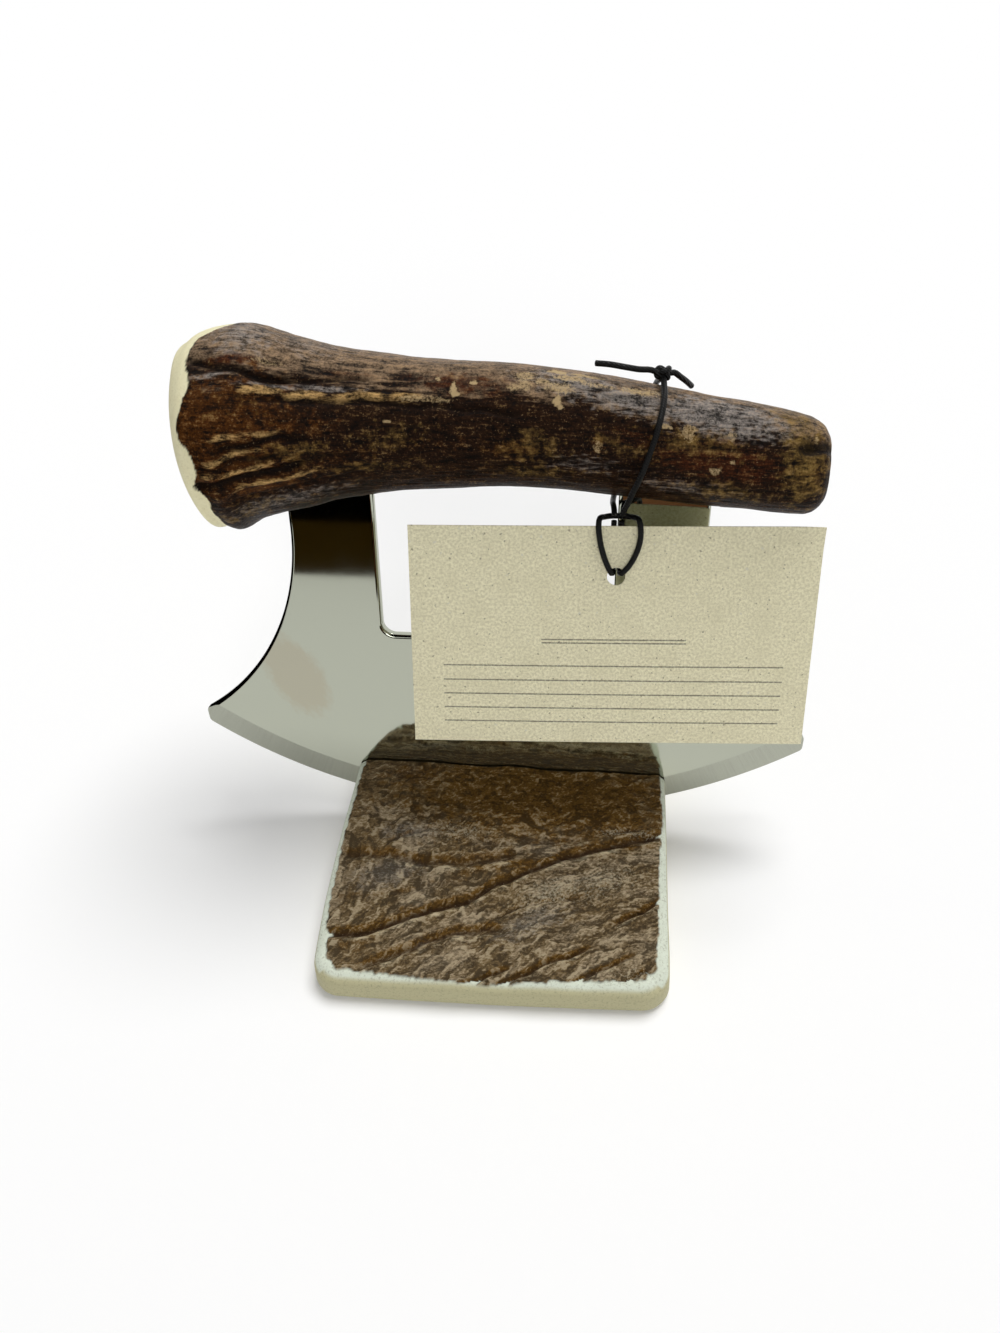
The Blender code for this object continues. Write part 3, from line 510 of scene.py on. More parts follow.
# Furrows of the stand's bark: half width, depth, and points from left to right in metres
STAND_FURROWS = (
    (
        0.0010,
        0.0009,
        ((-0.0280, -0.0460), (-0.0242, -0.0449), (-0.0151, -0.0408), (-0.0063, -0.0369), (0.0060, -0.0349)),
    ),
    (
        0.0010,
        0.0011,
        (
            (-0.0370, -0.0394),
            (-0.0282, -0.0380),
            (-0.0214, -0.0359),
            (-0.0152, -0.0327),
            (-0.0072, -0.0299),
            (-0.0029, -0.0284),
            (0.0012, -0.0252),
            (0.0065, -0.0221),
            (0.0120, -0.0193),
            (0.0169, -0.0168),
            (0.0224, -0.0149),
            (0.0308, -0.0123),
            (0.0430, -0.0088),
        ),
    ),
    (
        0.0011,
        0.0008,
        ((-0.0370, -0.0192), (-0.0259, -0.0185), (-0.0177, -0.0193), (-0.0028, -0.0189), (0.0083, -0.0163)),
    ),
    (
        0.0006,
        0.0009,
        ((-0.0070, -0.0500), (-0.0039, -0.0488), (0.0003, -0.0473), (0.0033, -0.0455), (0.0090, -0.0430)),
    ),
    (
        0.0006,
        0.0009,
        ((0.0020, -0.0500), (0.0081, -0.0464), (0.0137, -0.0433), (0.0199, -0.0403), (0.0270, -0.0370)),
    ),
    (
        0.0006,
        0.0008,
        ((0.0180, -0.0480), (0.0207, -0.0467), (0.0263, -0.0432), (0.0310, -0.0413), (0.0370, -0.0380)),
    ),
    (0.0007, 0.0009, ((0.0290, -0.0329), (0.0307, -0.0321), (0.0366, -0.0286), (0.0430, -0.0248))),
    (0.0005, 0.0007, ((0.0290, -0.0470), (0.0347, -0.0442), (0.0400, -0.0410))),
    (
        0.0007,
        0.0005,
        ((-0.0260, -0.0160), (-0.0165, -0.0111), (-0.0096, -0.0105), (0.0024, -0.0136), (0.0135, -0.0091)),
    ),
    (0.0008, 0.0005, ((0.0060, -0.0130), (0.0180, -0.0120), (0.0300, -0.0090), (0.0430, -0.0060))),
    (0.0007, 0.0004, ((-0.0370, -0.0300), (-0.0240, -0.0290), (-0.0120, -0.0255), (0.0000, -0.0230))),
    (0.0006, 0.0005, ((0.0020, -0.0330), (0.0120, -0.0285), (0.0240, -0.0255), (0.0330, -0.0200))),
    (
        0.0009,
        0.0007,
        ((-0.0370, 0.0220), (-0.0200, 0.0240), (0.0000, 0.0215), (0.0180, 0.0250), (0.0420, 0.0230)),
    ),
    (
        0.0008,
        0.0006,
        ((-0.0370, 0.0330), (-0.0180, 0.0310), (0.0020, 0.0345), (0.0210, 0.0330), (0.0400, 0.0360)),
    ),
)
# Patches of the stand's bark: kind, place, half length, half width, strength
STAND_PATCHES = (
    ("amber", 0.0120, 0.0000, 0.0440, 0.0150, 1.15),
    ("amber", 0.0280, -0.0060, 0.0200, 0.0080, 0.9),
    ("amber", -0.0180, -0.0330, 0.0120, 0.0030, 0.6),
    ("amber", -0.0280, -0.0400, 0.0100, 0.0040, 0.5),
    ("amber", 0.0060, -0.0190, 0.0160, 0.0016, 1.0),
    ("amber", 0.0320, -0.0125, 0.0120, 0.0016, 1.0),
    ("amber", 0.0040, 0.0300, 0.0260, 0.0120, 0.6),
    ("pale", 0.0160, -0.0250, 0.0100, 0.0045, 0.42),
    ("pale", 0.0280, -0.0220, 0.0100, 0.0050, 0.38),
    ("pale", 0.0330, -0.0090, 0.0090, 0.0016, 0.45),
    ("pale", 0.0340, -0.0440, 0.0060, 0.0026, 0.35),
    ("pale", -0.0080, -0.0110, 0.0100, 0.0030, 0.35),
    ("grey_and_sheen", -0.0130, -0.0390, 0.0070, 0.0012, 0.9),
    ("grey_and_sheen", -0.0230, -0.0230, 0.0130, 0.0060, 0.6),
    ("grey_and_sheen", -0.0200, -0.0120, 0.0110, 0.0030, 0.7),
    ("grey_and_sheen", 0.0120, -0.0330, 0.0130, 0.0050, 0.6),
    ("warm", 0.0330, 0.0040, 0.0090, 0.0050, 0.6),
    ("warm", -0.0200, 0.0040, 0.0120, 0.0060, 0.5),
)

# Tag
TAG_WIDTH = 0.0889
TAG_HEIGHT = 0.0508
TAG_THICKNESS = 0.0004
TAG_HOLE_DIAMETER = 0.0040
TAG_HOLE_FROM_TOP = 0.0111
TAG_HOLE_OFF_CENTRE = 0.0006
TAG_TOP_UNDER_PIVOT = 0.0015
TAG_IN_FRONT_OF_PIVOT = 0.0009
TAG_TILT = math.radians(22.4)
TAG_TURN = math.radians(4.0)
TAG_PIVOT = Vector((0.0272, -0.0071, 0.0850))
TAG_COLUMNS = 90
TAG_ROWS = 52
CORNER_BEND_REACH = 0.0075
CORNER_BEND_DEPTH = 0.0007
CARD_BOW = 0.0003
HOLE_SIDES = 48
# Faces that look forward more than this are the card's front
FRONT_FACING = 0.7
CARD_FIBRE_RANGE = (0.40, 0.60)
CARD_CLOUD_RANGE = (0.45, 0.7, 0.0, 0.35)
SPECK_RANGES = {"dark_flecks": (0.70, 0.75, 0.0, 0.75), "pale_fibres": (0.72, 0.77, 0.0, 0.75)}
CARD_BUMP = (0.3, 0.00006)
CARD_ROUGHNESS = 0.9
CARD_SHINE = 0.3
RULE_THICKNESS = 0.0003
# How far from a ruled line's middle its ink starts and is full, and how much ink that is
RULE_RANGE = (RULE_THICKNESS * 0.7, RULE_THICKNESS * 0.35, 0.0, 0.8)
# How much of the ink the fibres keep
WORN_INK_RANGE = (0.3, 0.6, 0.55, 1.0)
# Plain ruled lines on the card: height on it and half the length
RULED_LINES = (
    (-0.0272, 0.0160),
    (-0.0280, 0.0160),
    (-0.0335, 0.0380),
    (-0.0370, 0.0380),
    (-0.0404, 0.0380),
    (-0.0438, 0.0380),
    (-0.0472, 0.0380),
)

# Cord
CORD_DIAMETER = 0.00125
CORD_POINT_SPACING = 0.0008
KNOT_CENTRE = Vector((0.0349, -0.0012, 0.1143))
KNOT_LOOP_SIZE = 0.00046
KNOT_POINTS = 96
KNOT_DEPTH_SHARE = 1.3
KNOT_TURNS = Matrix.Rotation(math.radians(-50), 4, "X") @ Matrix.Rotation(math.radians(35), 4, "Z")
CORD_WEAVE = {"Scale": 800.0, "Distortion": 3.0, "Detail": 2.0}
WEAVE_BUMP = (0.6, 0.00012)
CORD_ROUGHNESS = 0.36
CORD_SHINE = 0.14
LONG_TAILED_ROUTE = (
    (0.0281, -0.0076, 0.0861),
    (0.0282, -0.0080, 0.0868),
    (0.0290, -0.0092, 0.0890),
    (0.0299, -0.0102, 0.0919),
    (0.0309, -0.0112, 0.0947),
    (0.0318, -0.0118, 0.0975),
    (0.0327, -0.0117, 0.1005),
    (0.0336, -0.0112, 0.1034),
    (0.0344, -0.0101, 0.1066),
    (0.0350, -0.0081, 0.1094),
    (0.0352, -0.0059, 0.1112),
    (0.0351, -0.0034, 0.1123),
    (0.0347, -0.0018, 0.1138),
    (0.0325, -0.0016, 0.1149),
    (0.0300, -0.0024, 0.1152),
    (0.0272, -0.0028, 0.1157),
    (0.0240, -0.0024, 0.1161),
    (0.0212, -0.0012, 0.1160),
)
SHORT_TAILED_ROUTE = (
    (0.0264, -0.0070, 0.0857),
    (0.0263, -0.0060, 0.0865),
    (0.0261, -0.0042, 0.0869),
    (0.0260, -0.0015, 0.0866),
    (0.0263, 0.0020, 0.0870),
    (0.0275, 0.0054, 0.0884),
    (0.0289, 0.0088, 0.0908),
    (0.0302, 0.0113, 0.0945),
    (0.0313, 0.0121, 0.0990),
    (0.0323, 0.0115, 0.1030),
    (0.0332, 0.0100, 0.1069),
    (0.0340, 0.0071, 0.1102),
    (0.0346, 0.0036, 0.1119),
    (0.0348, 0.0012, 0.1125),
    (0.0355, -0.0002, 0.1138),
    (0.0371, 0.0000, 0.1141),
    (0.0385, 0.0012, 0.1130),
    (0.0400, 0.0030, 0.1116),
    (0.0412, 0.0050, 0.1102),
)
HITCH_ROUTE = (
    (0.0008, 0.0000, -0.0006),
    (0.0008, 0.0003, -0.0022),
    (0.0008, 0.0004, -0.0050),
    (0.0008, 0.0004, -0.0090),
    (0.0008, 0.0002, -0.0110),
    (0.0008, -0.0009, -0.0119),
    (0.0011, -0.0020, -0.0116),
    (0.0024, -0.0021, -0.0102),
    (0.0036, -0.0021, -0.0081),
    (0.0045, -0.0021, -0.0056),
    (0.0048, -0.0021, -0.0032),
    (0.0046, -0.0020, -0.0010),
    (0.0042, -0.0009, 0.0001),
    (0.0030, 0.0008, 0.0001),
    (0.0016, 0.0017, 0.0001),
    (0.0000, 0.0019, 0.0001),
    (-0.0016, 0.0017, 0.0001),
    (-0.0028, 0.0008, 0.0001),
    (-0.0039, -0.0009, 0.0002),
    (-0.0042, -0.0020, -0.0010),
    (-0.0040, -0.0021, -0.0032),
    (-0.0035, -0.0021, -0.0058),
    (-0.0027, -0.0021, -0.0083),
    (-0.0019, -0.0021, -0.0102),
    (-0.0011, -0.0020, -0.0116),
    (-0.0008, -0.0009, -0.0119),
    (-0.0008, 0.0002, -0.0110),
    (-0.0008, 0.0004, -0.0090),
    (-0.0008, 0.0004, -0.0050),
    (-0.0008, 0.0003, -0.0022),
    (-0.0008, 0.0000, -0.0006),
)

# Meshing
WELD_DISTANCE = 0.00001
ARC_STEP = math.radians(2)
EDGE_ARC_STEP = math.radians(0.5)
TURNED_STEPS = 720
CUT_OVERRUN = 0.0050
SLIVER_LENGTH = WELD_DISTANCE / 10
ROUND_STEPS = 5
# Digits that tell the lines of a mesh's grid apart
GRID_DIGITS = 5

# The photograph's camera
CAMERA_PLACE = (0.0240, -0.15825, 0.2120)
CAMERA_YAW = math.radians(7.6)
CAMERA_PITCH = math.radians(43.6)
CAMERA_ROLL = math.radians(-2.7)
CAMERA_LENS = 27.0
CAMERA_SENSOR = 36.0
CAMERA_CLIP_START = 0.01

# Stage
FLOOR_REACH = 3.0
PAPER_ROUGHNESS = 0.95
BOARD_ROUGHNESS = 0.9
WHITE = (1.0, 1.0, 1.0, 1.0)
LAMP_SIDE_LEAN = math.radians(12)
FRONT_LAMP_ANGLE = math.radians(30)
FRONT_LAMP_LEAN = math.radians(58)
BOARD_Y = -0.31
# Boards in front that show in the steel: name, colour, left, right, low, high, how far behind the first
FRONT_BOARDS = (
    ("brown_board", "#3C2B0A", -0.35, 0.30, 0.0, 0.031, 0.0),
    ("black_board", "#020202", -0.35, 0.30, 0.031, 0.150, 0.0),
    ("tan_board", "#8A5E40", 0.03, 0.09, 0.033, 0.150, 0.001),
)
# Boards that only the blade's rounded rims mirror, by their corners
RIM_BOARDS = {
    "side_board": (
        (-0.1150, -0.0500, 0.0),
        (-0.1150, 0.1200, 0.0),
        (-0.1150, 0.1200, 0.1300),
        (-0.1150, -0.0500, 0.1300),
    ),
    "ceiling_board": (
        (-0.1500, -0.5000, 0.4000),
        (0.1500, -0.5000, 0.4000),
        (0.1500, 0.0500, 0.4000),
        (-0.1500, 0.0500, 0.4000),
    ),
}
RIM_BOARD_COLOUR = "#060606"

GROOVE_Y = (STAND_FRONT_DEPTH - STAND_BACK_DEPTH) / 2
KNIFE_MATRIX = Matrix.Translation((0, GROOVE_Y, SEAT_HEIGHT)) @ Matrix.Rotation(-KNIFE_LEAN, 4, "X")
TAG_TURNS = Matrix.Rotation(TAG_TURN, 4, "Z") @ Matrix.Rotation(KNIFE_LEAN - TAG_TILT, 4, "X")
TAG_MATRIX = KNIFE_MATRIX @ Matrix.Translation(TAG_PIVOT) @ TAG_TURNS

# Inputs of the Mix node that take its factor and two colours, and the output that gives the colour
MIX_FACTOR = 0
MIX_FIRST = 6
MIX_SECOND = 7
MIX_RESULT = 2
# The same for two numbers
MIX_FIRST_NUMBER = 2
MIX_SECOND_NUMBER = 3
MIX_NUMBER_RESULT = 0

# Noise patterns of the surfaces: how fine each is for a metre of the place that it takes, detail, roughness
PATTERNS = {
    "haze": (60.0, 4.0, 0.5),
    "strokes": (4.0, 6.0, 0.7),
    "scratches": (1.0, 3.0, 0.5),
    "fibres": (1.0, 6.0, 0.78),
    "blotches": (420.0, 5.0, 0.7),
    "grain": (1900.0, 4.0, 0.75),
    "resin_clouds": (500.0, 2.0, 0.5),
    "card_fibres": (1700.0, 4.0, 0.7),
    "card_clouds": (170.0, 3.0, 0.5),
    "dark_flecks": (1100.0, 1.0, 0.5),
    "pale_fibres": (700.0, 1.0, 0.5),
    "board_mottle": (25.0, 2.0, 0.5),
}

# Colours of the bark: setting, label, what it colours, and its default on the handle and on the stand
BARK_COLOURS = (
    ("brown_bark", "Brown bark", "most of the bark", "#1E0F05", "#5E4D33"),
    # On the handle this colour also paints light and sheen on the grip's top
    ("worn_bark", "Worn bark", "the bark where it is worn", "#6B5844", "#7A6C56"),
    ("red_bark", "Red bark", "the reddish places", "#351807", "#351807"),
    ("furrow", "Furrows", "the furrows", "#0E0704", "#2E1D0A"),
    ("crest_bark", "Ridges", "the ridges and the furrows' lips", "#97794C", "#9C8F74"),
    # On the handle this colour also paints satin highlights
    ("grey_bark", "Grey bark", "the greyish places", "#6F6862", "#6E675C"),
    ("amber_bark", "Amber bark", "the thin amber places", "#3C2006", "#5A4016"),
    ("olive_bark", "Olive bark", "the olive mottles", "#5E4A26", "#5F5230"),
    ("tip", "Tips", "the palest fibres", "#94784F", "#B0A488"),
    ("scar", "Scars", "nicks, scars and bleached places", "#B9A076", "#B3A990"),
    ("ivory", "Antler", "the sanded antler", "#F4EEC8", "#DDE4D4"),
    ("ivory_shade", "Antler shade", "the sanded antler's darker clouds", "#E4DBB0", "#C3C9B6"),
    ("sawn", "Sawn antler", "the sawn faces", "#D8D0A4", "#BFBA95"),
    ("pore", "Pores", "the sanded antler's pores", "#B5AB80", "#8B8870"),
)


def linear(hex_colour):
    """An sRGB hex colour as the linear colour that shaders take."""
    channels = [int(hex_colour[i : i + 2], 16) / 255 for i in (1, 3, 5)]
    lit = [c / 12.92 if c <= 0.04045 else ((c + 0.055) / 1.055) ** 2.4 for c in channels]
    return (*lit, 1.0)


def connect(tree, node, inputs):
    """Gives a node its inputs, as values or as other nodes' outputs."""
    for socket, value in inputs.items():
        if isinstance(value, bpy.types.NodeSocket):
            tree.links.new(value, node.inputs[socket])
        else:
            node.inputs[socket].default_value = value


def add_node(tree, kind, inputs, **settings):
    """A node with its settings and its inputs."""
    made = tree.nodes.new(kind)
    for name, value in settings.items():
        setattr(made, name, value)
    connect(tree, made, inputs)
    return made


def mixed(tree, factor, first, second, blend="MIX"):
    """The colour between two colours."""
    inputs = {MIX_FACTOR: factor, MIX_FIRST: first, MIX_SECOND: second}
    return add_node(tree, "ShaderNodeMix", inputs, data_type="RGBA", blend_type=blend).outputs[MIX_RESULT]


def pattern(tree, place, name):
    """One of the noise patterns, from 0 to 1."""
    scale, detail, roughness = PATTERNS[name]
    inputs = {"Vector": place, "Scale": scale, "Detail": detail, "Roughness": roughness}
    return add_node(tree, "ShaderNodeTexNoise", inputs).outputs["Fac"]


def ranged(tree, value, low, high, to_low=0.0, to_high=1.0):
    """A value moved from one range to another, and kept inside it."""
    inputs = {"Value": value, "From Min": low, "From Max": high, "To Min": to_low, "To Max": to_high}
    return add_node(tree, "ShaderNodeMapRange", inputs).outputs["Result"]


def calculated(tree, operation, *values):
    """What an operation makes of values."""
    return add_node(tree, "ShaderNodeMath", dict(enumerate(values)), operation=operation).outputs["Value"]


def bumped(tree, height, bump, **under):
    """The normals over a bump, which may lie on other normals."""
    strength, distance = bump
    inputs = {"Strength": strength, "Distance": distance, "Height": height, **under}
    return add_node(tree, "ShaderNodeBump", inputs).outputs["Normal"]


def flat_place(tree, name):
    """The place on a flat map, in metres."""
    return add_node(tree, "ShaderNodeUVMap", {}, uv_map=name).outputs["UV"]


def solid_place(tree):
    """The place in the object's own frame, in metres."""
    return add_node(tree, "ShaderNodeTexCoord", {}).outputs["Object"]


def new_material(name):
    """A material with its tree and its shader."""
    made = bpy.data.materials.new(name)
    made.use_nodes = True
    return made, made.node_tree, made.node_tree.nodes["Principled BSDF"]


def new_piece(name, data, body, slot, *nodes):
    """An object that rides on a body and stands for CAD nodes."""
    piece = helper_object(name, data)
    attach(piece, body)
    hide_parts(*nodes)
    return piece


def smooth_between(table, share, column):
    """The column's value at a share along the table, on a smooth line through its rows."""
    last = len(table) - 1
    row = 0
    while row < last - 1 and table[row + 1][0] <= share:
        row += 1
    before, after = table[max(row - 1, 0)], table[min(row + 2, last)]
    here, there = table[row], table[row + 1]
    span = there[0] - here[0]
    t = clamped((share - here[0]) / span)
    rise_here = (there[column] - before[column]) / (there[0] - before[0]) * span
    rise_there = (after[column] - here[column]) / (after[0] - here[0]) * span
    return (
        here[column] * (2 * t**3 - 3 * t**2 + 1)
        + rise_here * (t**3 - 2 * t**2 + t)
        + there[column] * (3 * t**2 - 2 * t**3)
        + rise_there * (t**3 - t**2)
    )


def clamped(value, low=0, high=1):
    """The value, kept between low and high."""
    return min(max(value, low), high)


def smooth_step(low, high, value):
    """0 below low and 1 above high, with a smooth rise between."""
    t = clamped((value - low) / (high - low))
    return t * t * (3 - 2 * t)


def smooth_route(route, spacing):
    """Points about a spacing apart on one smooth line through the route's own points."""
    points = [Vector(p) for p in route]
    made = [points[0]]
    for i in range(len(points) - 1):
        before, here = points[max(i - 1, 0)], points[i]
        there, after = points[i + 1], points[min(i + 2, len(points) - 1)]
        steps = max(1, round((there - here).length / spacing))
        for step in range(1, steps + 1):
            t = step / steps
            made.append(
                (
                    2 * here
                    + (there - before) * t
                    + (2 * before - 5 * here + 4 * there - after) * t**2
                    + (3 * here - 3 * there + after - before) * t**3
                )
                / 2
            )
    return made


def arc(centre, radius, start, end, step=ARC_STEP):
    """Points along an arc, both ends included."""
    count = max(2, math.ceil(abs(end - start) / step))
    angles = [start + (end - start) * i / count for i in range(count + 1)]
    return [(centre[0] + radius * math.cos(a), centre[1] + radius * math.sin(a)) for a in angles]


def angle_between(first, second):
    """The signed way round from one angle to another."""
    return (first - second + math.pi) % (2 * math.pi) - math.pi


def drawn_noise(place, sizes):
    """Noise from -1 to 1 with lumps of one size along X and another across."""
    length, width = sizes
    return noise.noise(Vector((place.x / length, place.y / width, place.z / width)))


def slab_noise(name, x, y):
    """One of the slab's noises, from -1 to 1."""
    length, width, seed = SLAB_NOISES[name]
    return noise.noise(Vector((x / length, y / width, seed)))


def helper_object(name, data):
    """An object in the scene."""
    made = bpy.data.objects.new(name, data)
    bpy.context.scene.collection.objects.link(made)
    return made


def evaluated_mesh(obj):
    """The mesh that an object's modifiers or its curve give, with the object and its cutters removed."""
    cutters = [modifier.object for modifier in obj.modifiers if modifier.type == "BOOLEAN"]
    depsgraph = bpy.context.evaluated_depsgraph_get()
    shown = obj.evaluated_get(depsgraph)
    mesh = bpy.data.meshes.new_from_object(shown, preserve_all_data_layers=True, depsgraph=depsgraph)
    for used in [obj, *cutters]:
        bpy.data.objects.remove(used)
    return mesh


def cut(mesh, *cutter_meshes, operation="DIFFERENCE"):
    """The mesh after its Booleans."""
    target = helper_object(mesh.name, mesh)
    for cutter_mesh in cutter_meshes:
        modifier = target.modifiers.new(cutter_mesh.name, "BOOLEAN")
        modifier.operation = operation
        modifier.solver = "EXACT"
        modifier.object = helper_object(cutter_mesh.name, cutter_mesh)
    return evaluated_mesh(target)


def mesh_from(bm, name):
    """The mesh that a bmesh gives, with its faces turned outward."""
    bmesh.ops.recalc_face_normals(bm, faces=bm.faces)
    mesh = bpy.data.meshes.new(name)
    bm.to_mesh(mesh)
    bm.free()
    return mesh


def box_mesh(name, low, high):
    """A box between two corners."""
    low, high = Vector(low), Vector(high)
    bm = bmesh.new()
    bmesh.ops.create_cube(bm, size=1)
    bmesh.ops.scale(bm, vec=high - low, verts=bm.verts)
    bmesh.ops.translate(bm, vec=(low + high) / 2, verts=bm.verts)
    return mesh_from(bm, name)


def finished(mesh, name, smooth=True):
    """The mesh under its last name, shaded smooth if it is to be."""
    if smooth:
        mesh.polygons.foreach_set("use_smooth", [True] * len(mesh.polygons))
    mesh.name = name
    return mesh


def flat_map(mesh, name):
    """Keeps each corner's place in the upright plane as a UV map, in metres."""
    layer = mesh.uv_layers.new(name=name)
    for loop in mesh.loops:
        place = mesh.vertices[loop.vertex_index].co
        layer.data[loop.index].uv = (place.x, place.z)


def poly_curve(name, dimensions, places, closed):
    """A curve of straight stretches through places."""
    curve = bpy.data.curves.new(name, "CURVE")
    curve.dimensions = dimensions
    curve.bevel_resolution = ROUND_STEPS
    spline = curve.splines.new("POLY")
    spline.use_smooth = True
    spline.points.add(len(places) - 1)
    for point, place in zip(spline.points, places):
        point.co = (*place, 1)
    spline.use_cyclic_u = closed
    return curve


# Blade


def half_blade_outline():
    """The blade's right half, from the middle of the cutting edge up to the middle of the window's sill."""
    inner = WINDOW_WIDTH / 2
    outer = inner + LEG_WIDTH
    edge_centre = (0, CUTTING_EDGE_RADIUS)
    nose_x = BLADE_CHORD / 2 - TIP_NOSE_RADIUS
    edge_reach = CUTTING_EDGE_RADIUS - TIP_NOSE_RADIUS
    nose_low = (nose_x, CUTTING_EDGE_RADIUS - math.sqrt(edge_reach**2 - nose_x**2))
    nose_high = (nose_x, nose_low[1] + TIP_FLAT)
    in_from_nose = nose_x - outer
    up_from_nose = SHOULDER_HEIGHT - nose_high[1]
    flank_reach = in_from_nose**2 + up_from_nose**2 - TIP_NOSE_RADIUS**2
    flank_radius = flank_reach / 2 / (in_from_nose + TIP_NOSE_RADIUS)
    flank_centre = (outer + flank_radius, SHOULDER_HEIGHT)
    edge_end = math.atan2(nose_low[1] - edge_centre[1], nose_low[0])
    flank_start = math.atan2(nose_high[1] - flank_centre[1], nose_x - flank_centre[0])
    corner_centre = (inner - WINDOW_CORNER_RADIUS, WINDOW_SILL_HEIGHT + WINDOW_CORNER_RADIUS)
    points = arc(edge_centre, CUTTING_EDGE_RADIUS, -math.pi / 2, edge_end, EDGE_ARC_STEP)
    points += arc(nose_low, TIP_NOSE_RADIUS, edge_end, 0)[1:]
    points += arc(nose_high, TIP_NOSE_RADIUS, 0, flank_start + math.pi)
    points += arc(flank_centre, flank_radius, flank_start, -math.pi, EDGE_ARC_STEP)[1:]
    points += [(outer, TANG_TOP_HEIGHT), (inner, TANG_TOP_HEIGHT)]
    points += arc(corner_centre, WINDOW_CORNER_RADIUS, 0, -math.pi / 2)
    return points


def sheet_mesh(outline):
    """The blade's sheet with a rounded rim, upright in the XZ plane."""
    curve = poly_curve("blade_sheet", "2D", [(across, up, 0) for across, up in outline], True)
    curve.fill_mode = "BOTH"
    curve.extrude = BLADE_THICKNESS / 2 - RIM_ROUNDING
    curve.bevel_depth = RIM_ROUNDING
    curve.offset = -RIM_ROUNDING
    mesh = evaluated_mesh(helper_object("blade_sheet", curve))
    bm = bmesh.new()
    bm.from_mesh(mesh)
    bmesh.ops.remove_doubles(bm, verts=bm.verts, dist=WELD_DISTANCE)
    bm.to_mesh(mesh)
    bm.free()
    mesh.transform(Matrix.Rotation(math.pi / 2, 4, "X"))
    return mesh


def grinding_cone_mesh():
    """A double cone about the cutting edge's centre, which leaves the blade its ground bevels."""
    slope = (BLADE_THICKNESS - CUTTING_EDGE_LAND) / 2 / GRIND_WIDTH
    rim = CUTTING_EDGE_RADIUS + CUTTING_EDGE_LAND / 2 / slope
    shoulder = rim - BLADE_THICKNESS / slope
    aside = BLADE_THICKNESS
    profile = ((0, aside), (shoulder, aside), (rim, 0), (shoulder, -aside), (0, -aside))
    bm = bmesh.new()
    verts = [bm.verts.new((out, side, 0)) for out, side in profile]
    edges = [bm.edges.new(pair) for pair in zip(verts, verts[1:])]
    bmesh.ops.spin(
        bm,
        geom=verts + edges,
        angle=2 * math.pi,
        steps=TURNED_STEPS,
        axis=(0, 1, 0),
        cent=(0, 0, 0),
        use_merge=True,
    )
    bmesh.ops.remove_doubles(bm, verts=bm.verts, dist=WELD_DISTANCE)
    bmesh.ops.translate(bm, vec=(0, 0, CUTTING_EDGE_RADIUS), verts=bm.verts)
    return mesh_from(bm, "grinding_cone")


def blade_mesh():
    """The sheet with its bevels. Its ground faces take the second material."""
    half = half_blade_outline()
    outline = half + [(-x, z) for x, z in reversed(half) if x > WELD_DISTANCE]
    mesh = cut(sheet_mesh(outline), grinding_cone_mesh(), operation="INTERSECT")
    bm = bmesh.new()
    bm.from_mesh(mesh)
    bmesh.ops.dissolve_degenerate(bm, edges=bm.edges, dist=SLIVER_LENGTH)
    bm.normal_update()
    flat_limit = math.cos(FLAT_FACE_ANGLE)
    ground_limit = math.cos(GROUND_FACE_ANGLE)
    for face in bm.faces:
        from_centre = face.calc_center_median() - Vector((0, 0, CUTTING_EDGE_RADIUS))
        near_edge = math.hypot(from_centre.x, from_centre.z) > CUTTING_EDGE_RADIUS - GRIND_WIDTH
        facing = abs(face.normal.y)
        face.smooth = True
        face.material_index = 1 if near_edge and ground_limit < facing < flat_limit else 0
    for edge in bm.edges:
        facing = [abs(face.normal.y) > flat_limit for face in edge.link_faces]
        grounds = [face.material_index for face in edge.link_faces]
        edge.smooth = len(set(facing)) == 1 and len(set(grounds)) == 1
    bm.to_mesh(mesh)
    bm.free()
    flat_map(mesh, "blade_plane")
    mesh.transform(KNIFE_MATRIX)
    return finished(mesh, "blade", smooth=False)


def polished_steel(settings):
    """Mirror-polished stainless sheet: a near mirror with a faint haze and one wiped smudge."""
    material, tree, shader = new_material("mirror_polished_stainless")
    plane = flat_place(tree, "blade_plane")
    haze = pattern(tree, plane, "haze")
    # The smudge lies low on the left, about 14 mm wide and 27 mm long, with strokes along it
    smudge_inputs = {
        "Vector": plane,
        "Location": SMUDGE_PLACE,
        "Rotation": (0, 0, SMUDGE_LEAN),
        "Scale": SMUDGE_HALF_SIZE,
    }
    smudge_frame = add_node(tree, "ShaderNodeMapping", smudge_inputs, vector_type="TEXTURE").outputs["Vector"]
    ball = add_node(tree, "ShaderNodeTexGradient", {"Vector": smudge_frame}, gradient_type="SPHERICAL")
    strokes = pattern(tree, smudge_frame, "strokes")
    smudge_edge = calculated(tree, "MULTIPLY_ADD", strokes, SMUDGE_RAGGEDNESS, ball.outputs["Fac"])
    inputs = {
        "Base Color": mixed(tree, ranged(tree, smudge_edge, *SMUDGE_RANGE), settings.steel, settings.smudge),
        "Roughness": ranged(tree, haze, *HAZE_RANGE),
        "Metallic": 1.0,
    }
    connect(tree, shader, inputs)
    return material


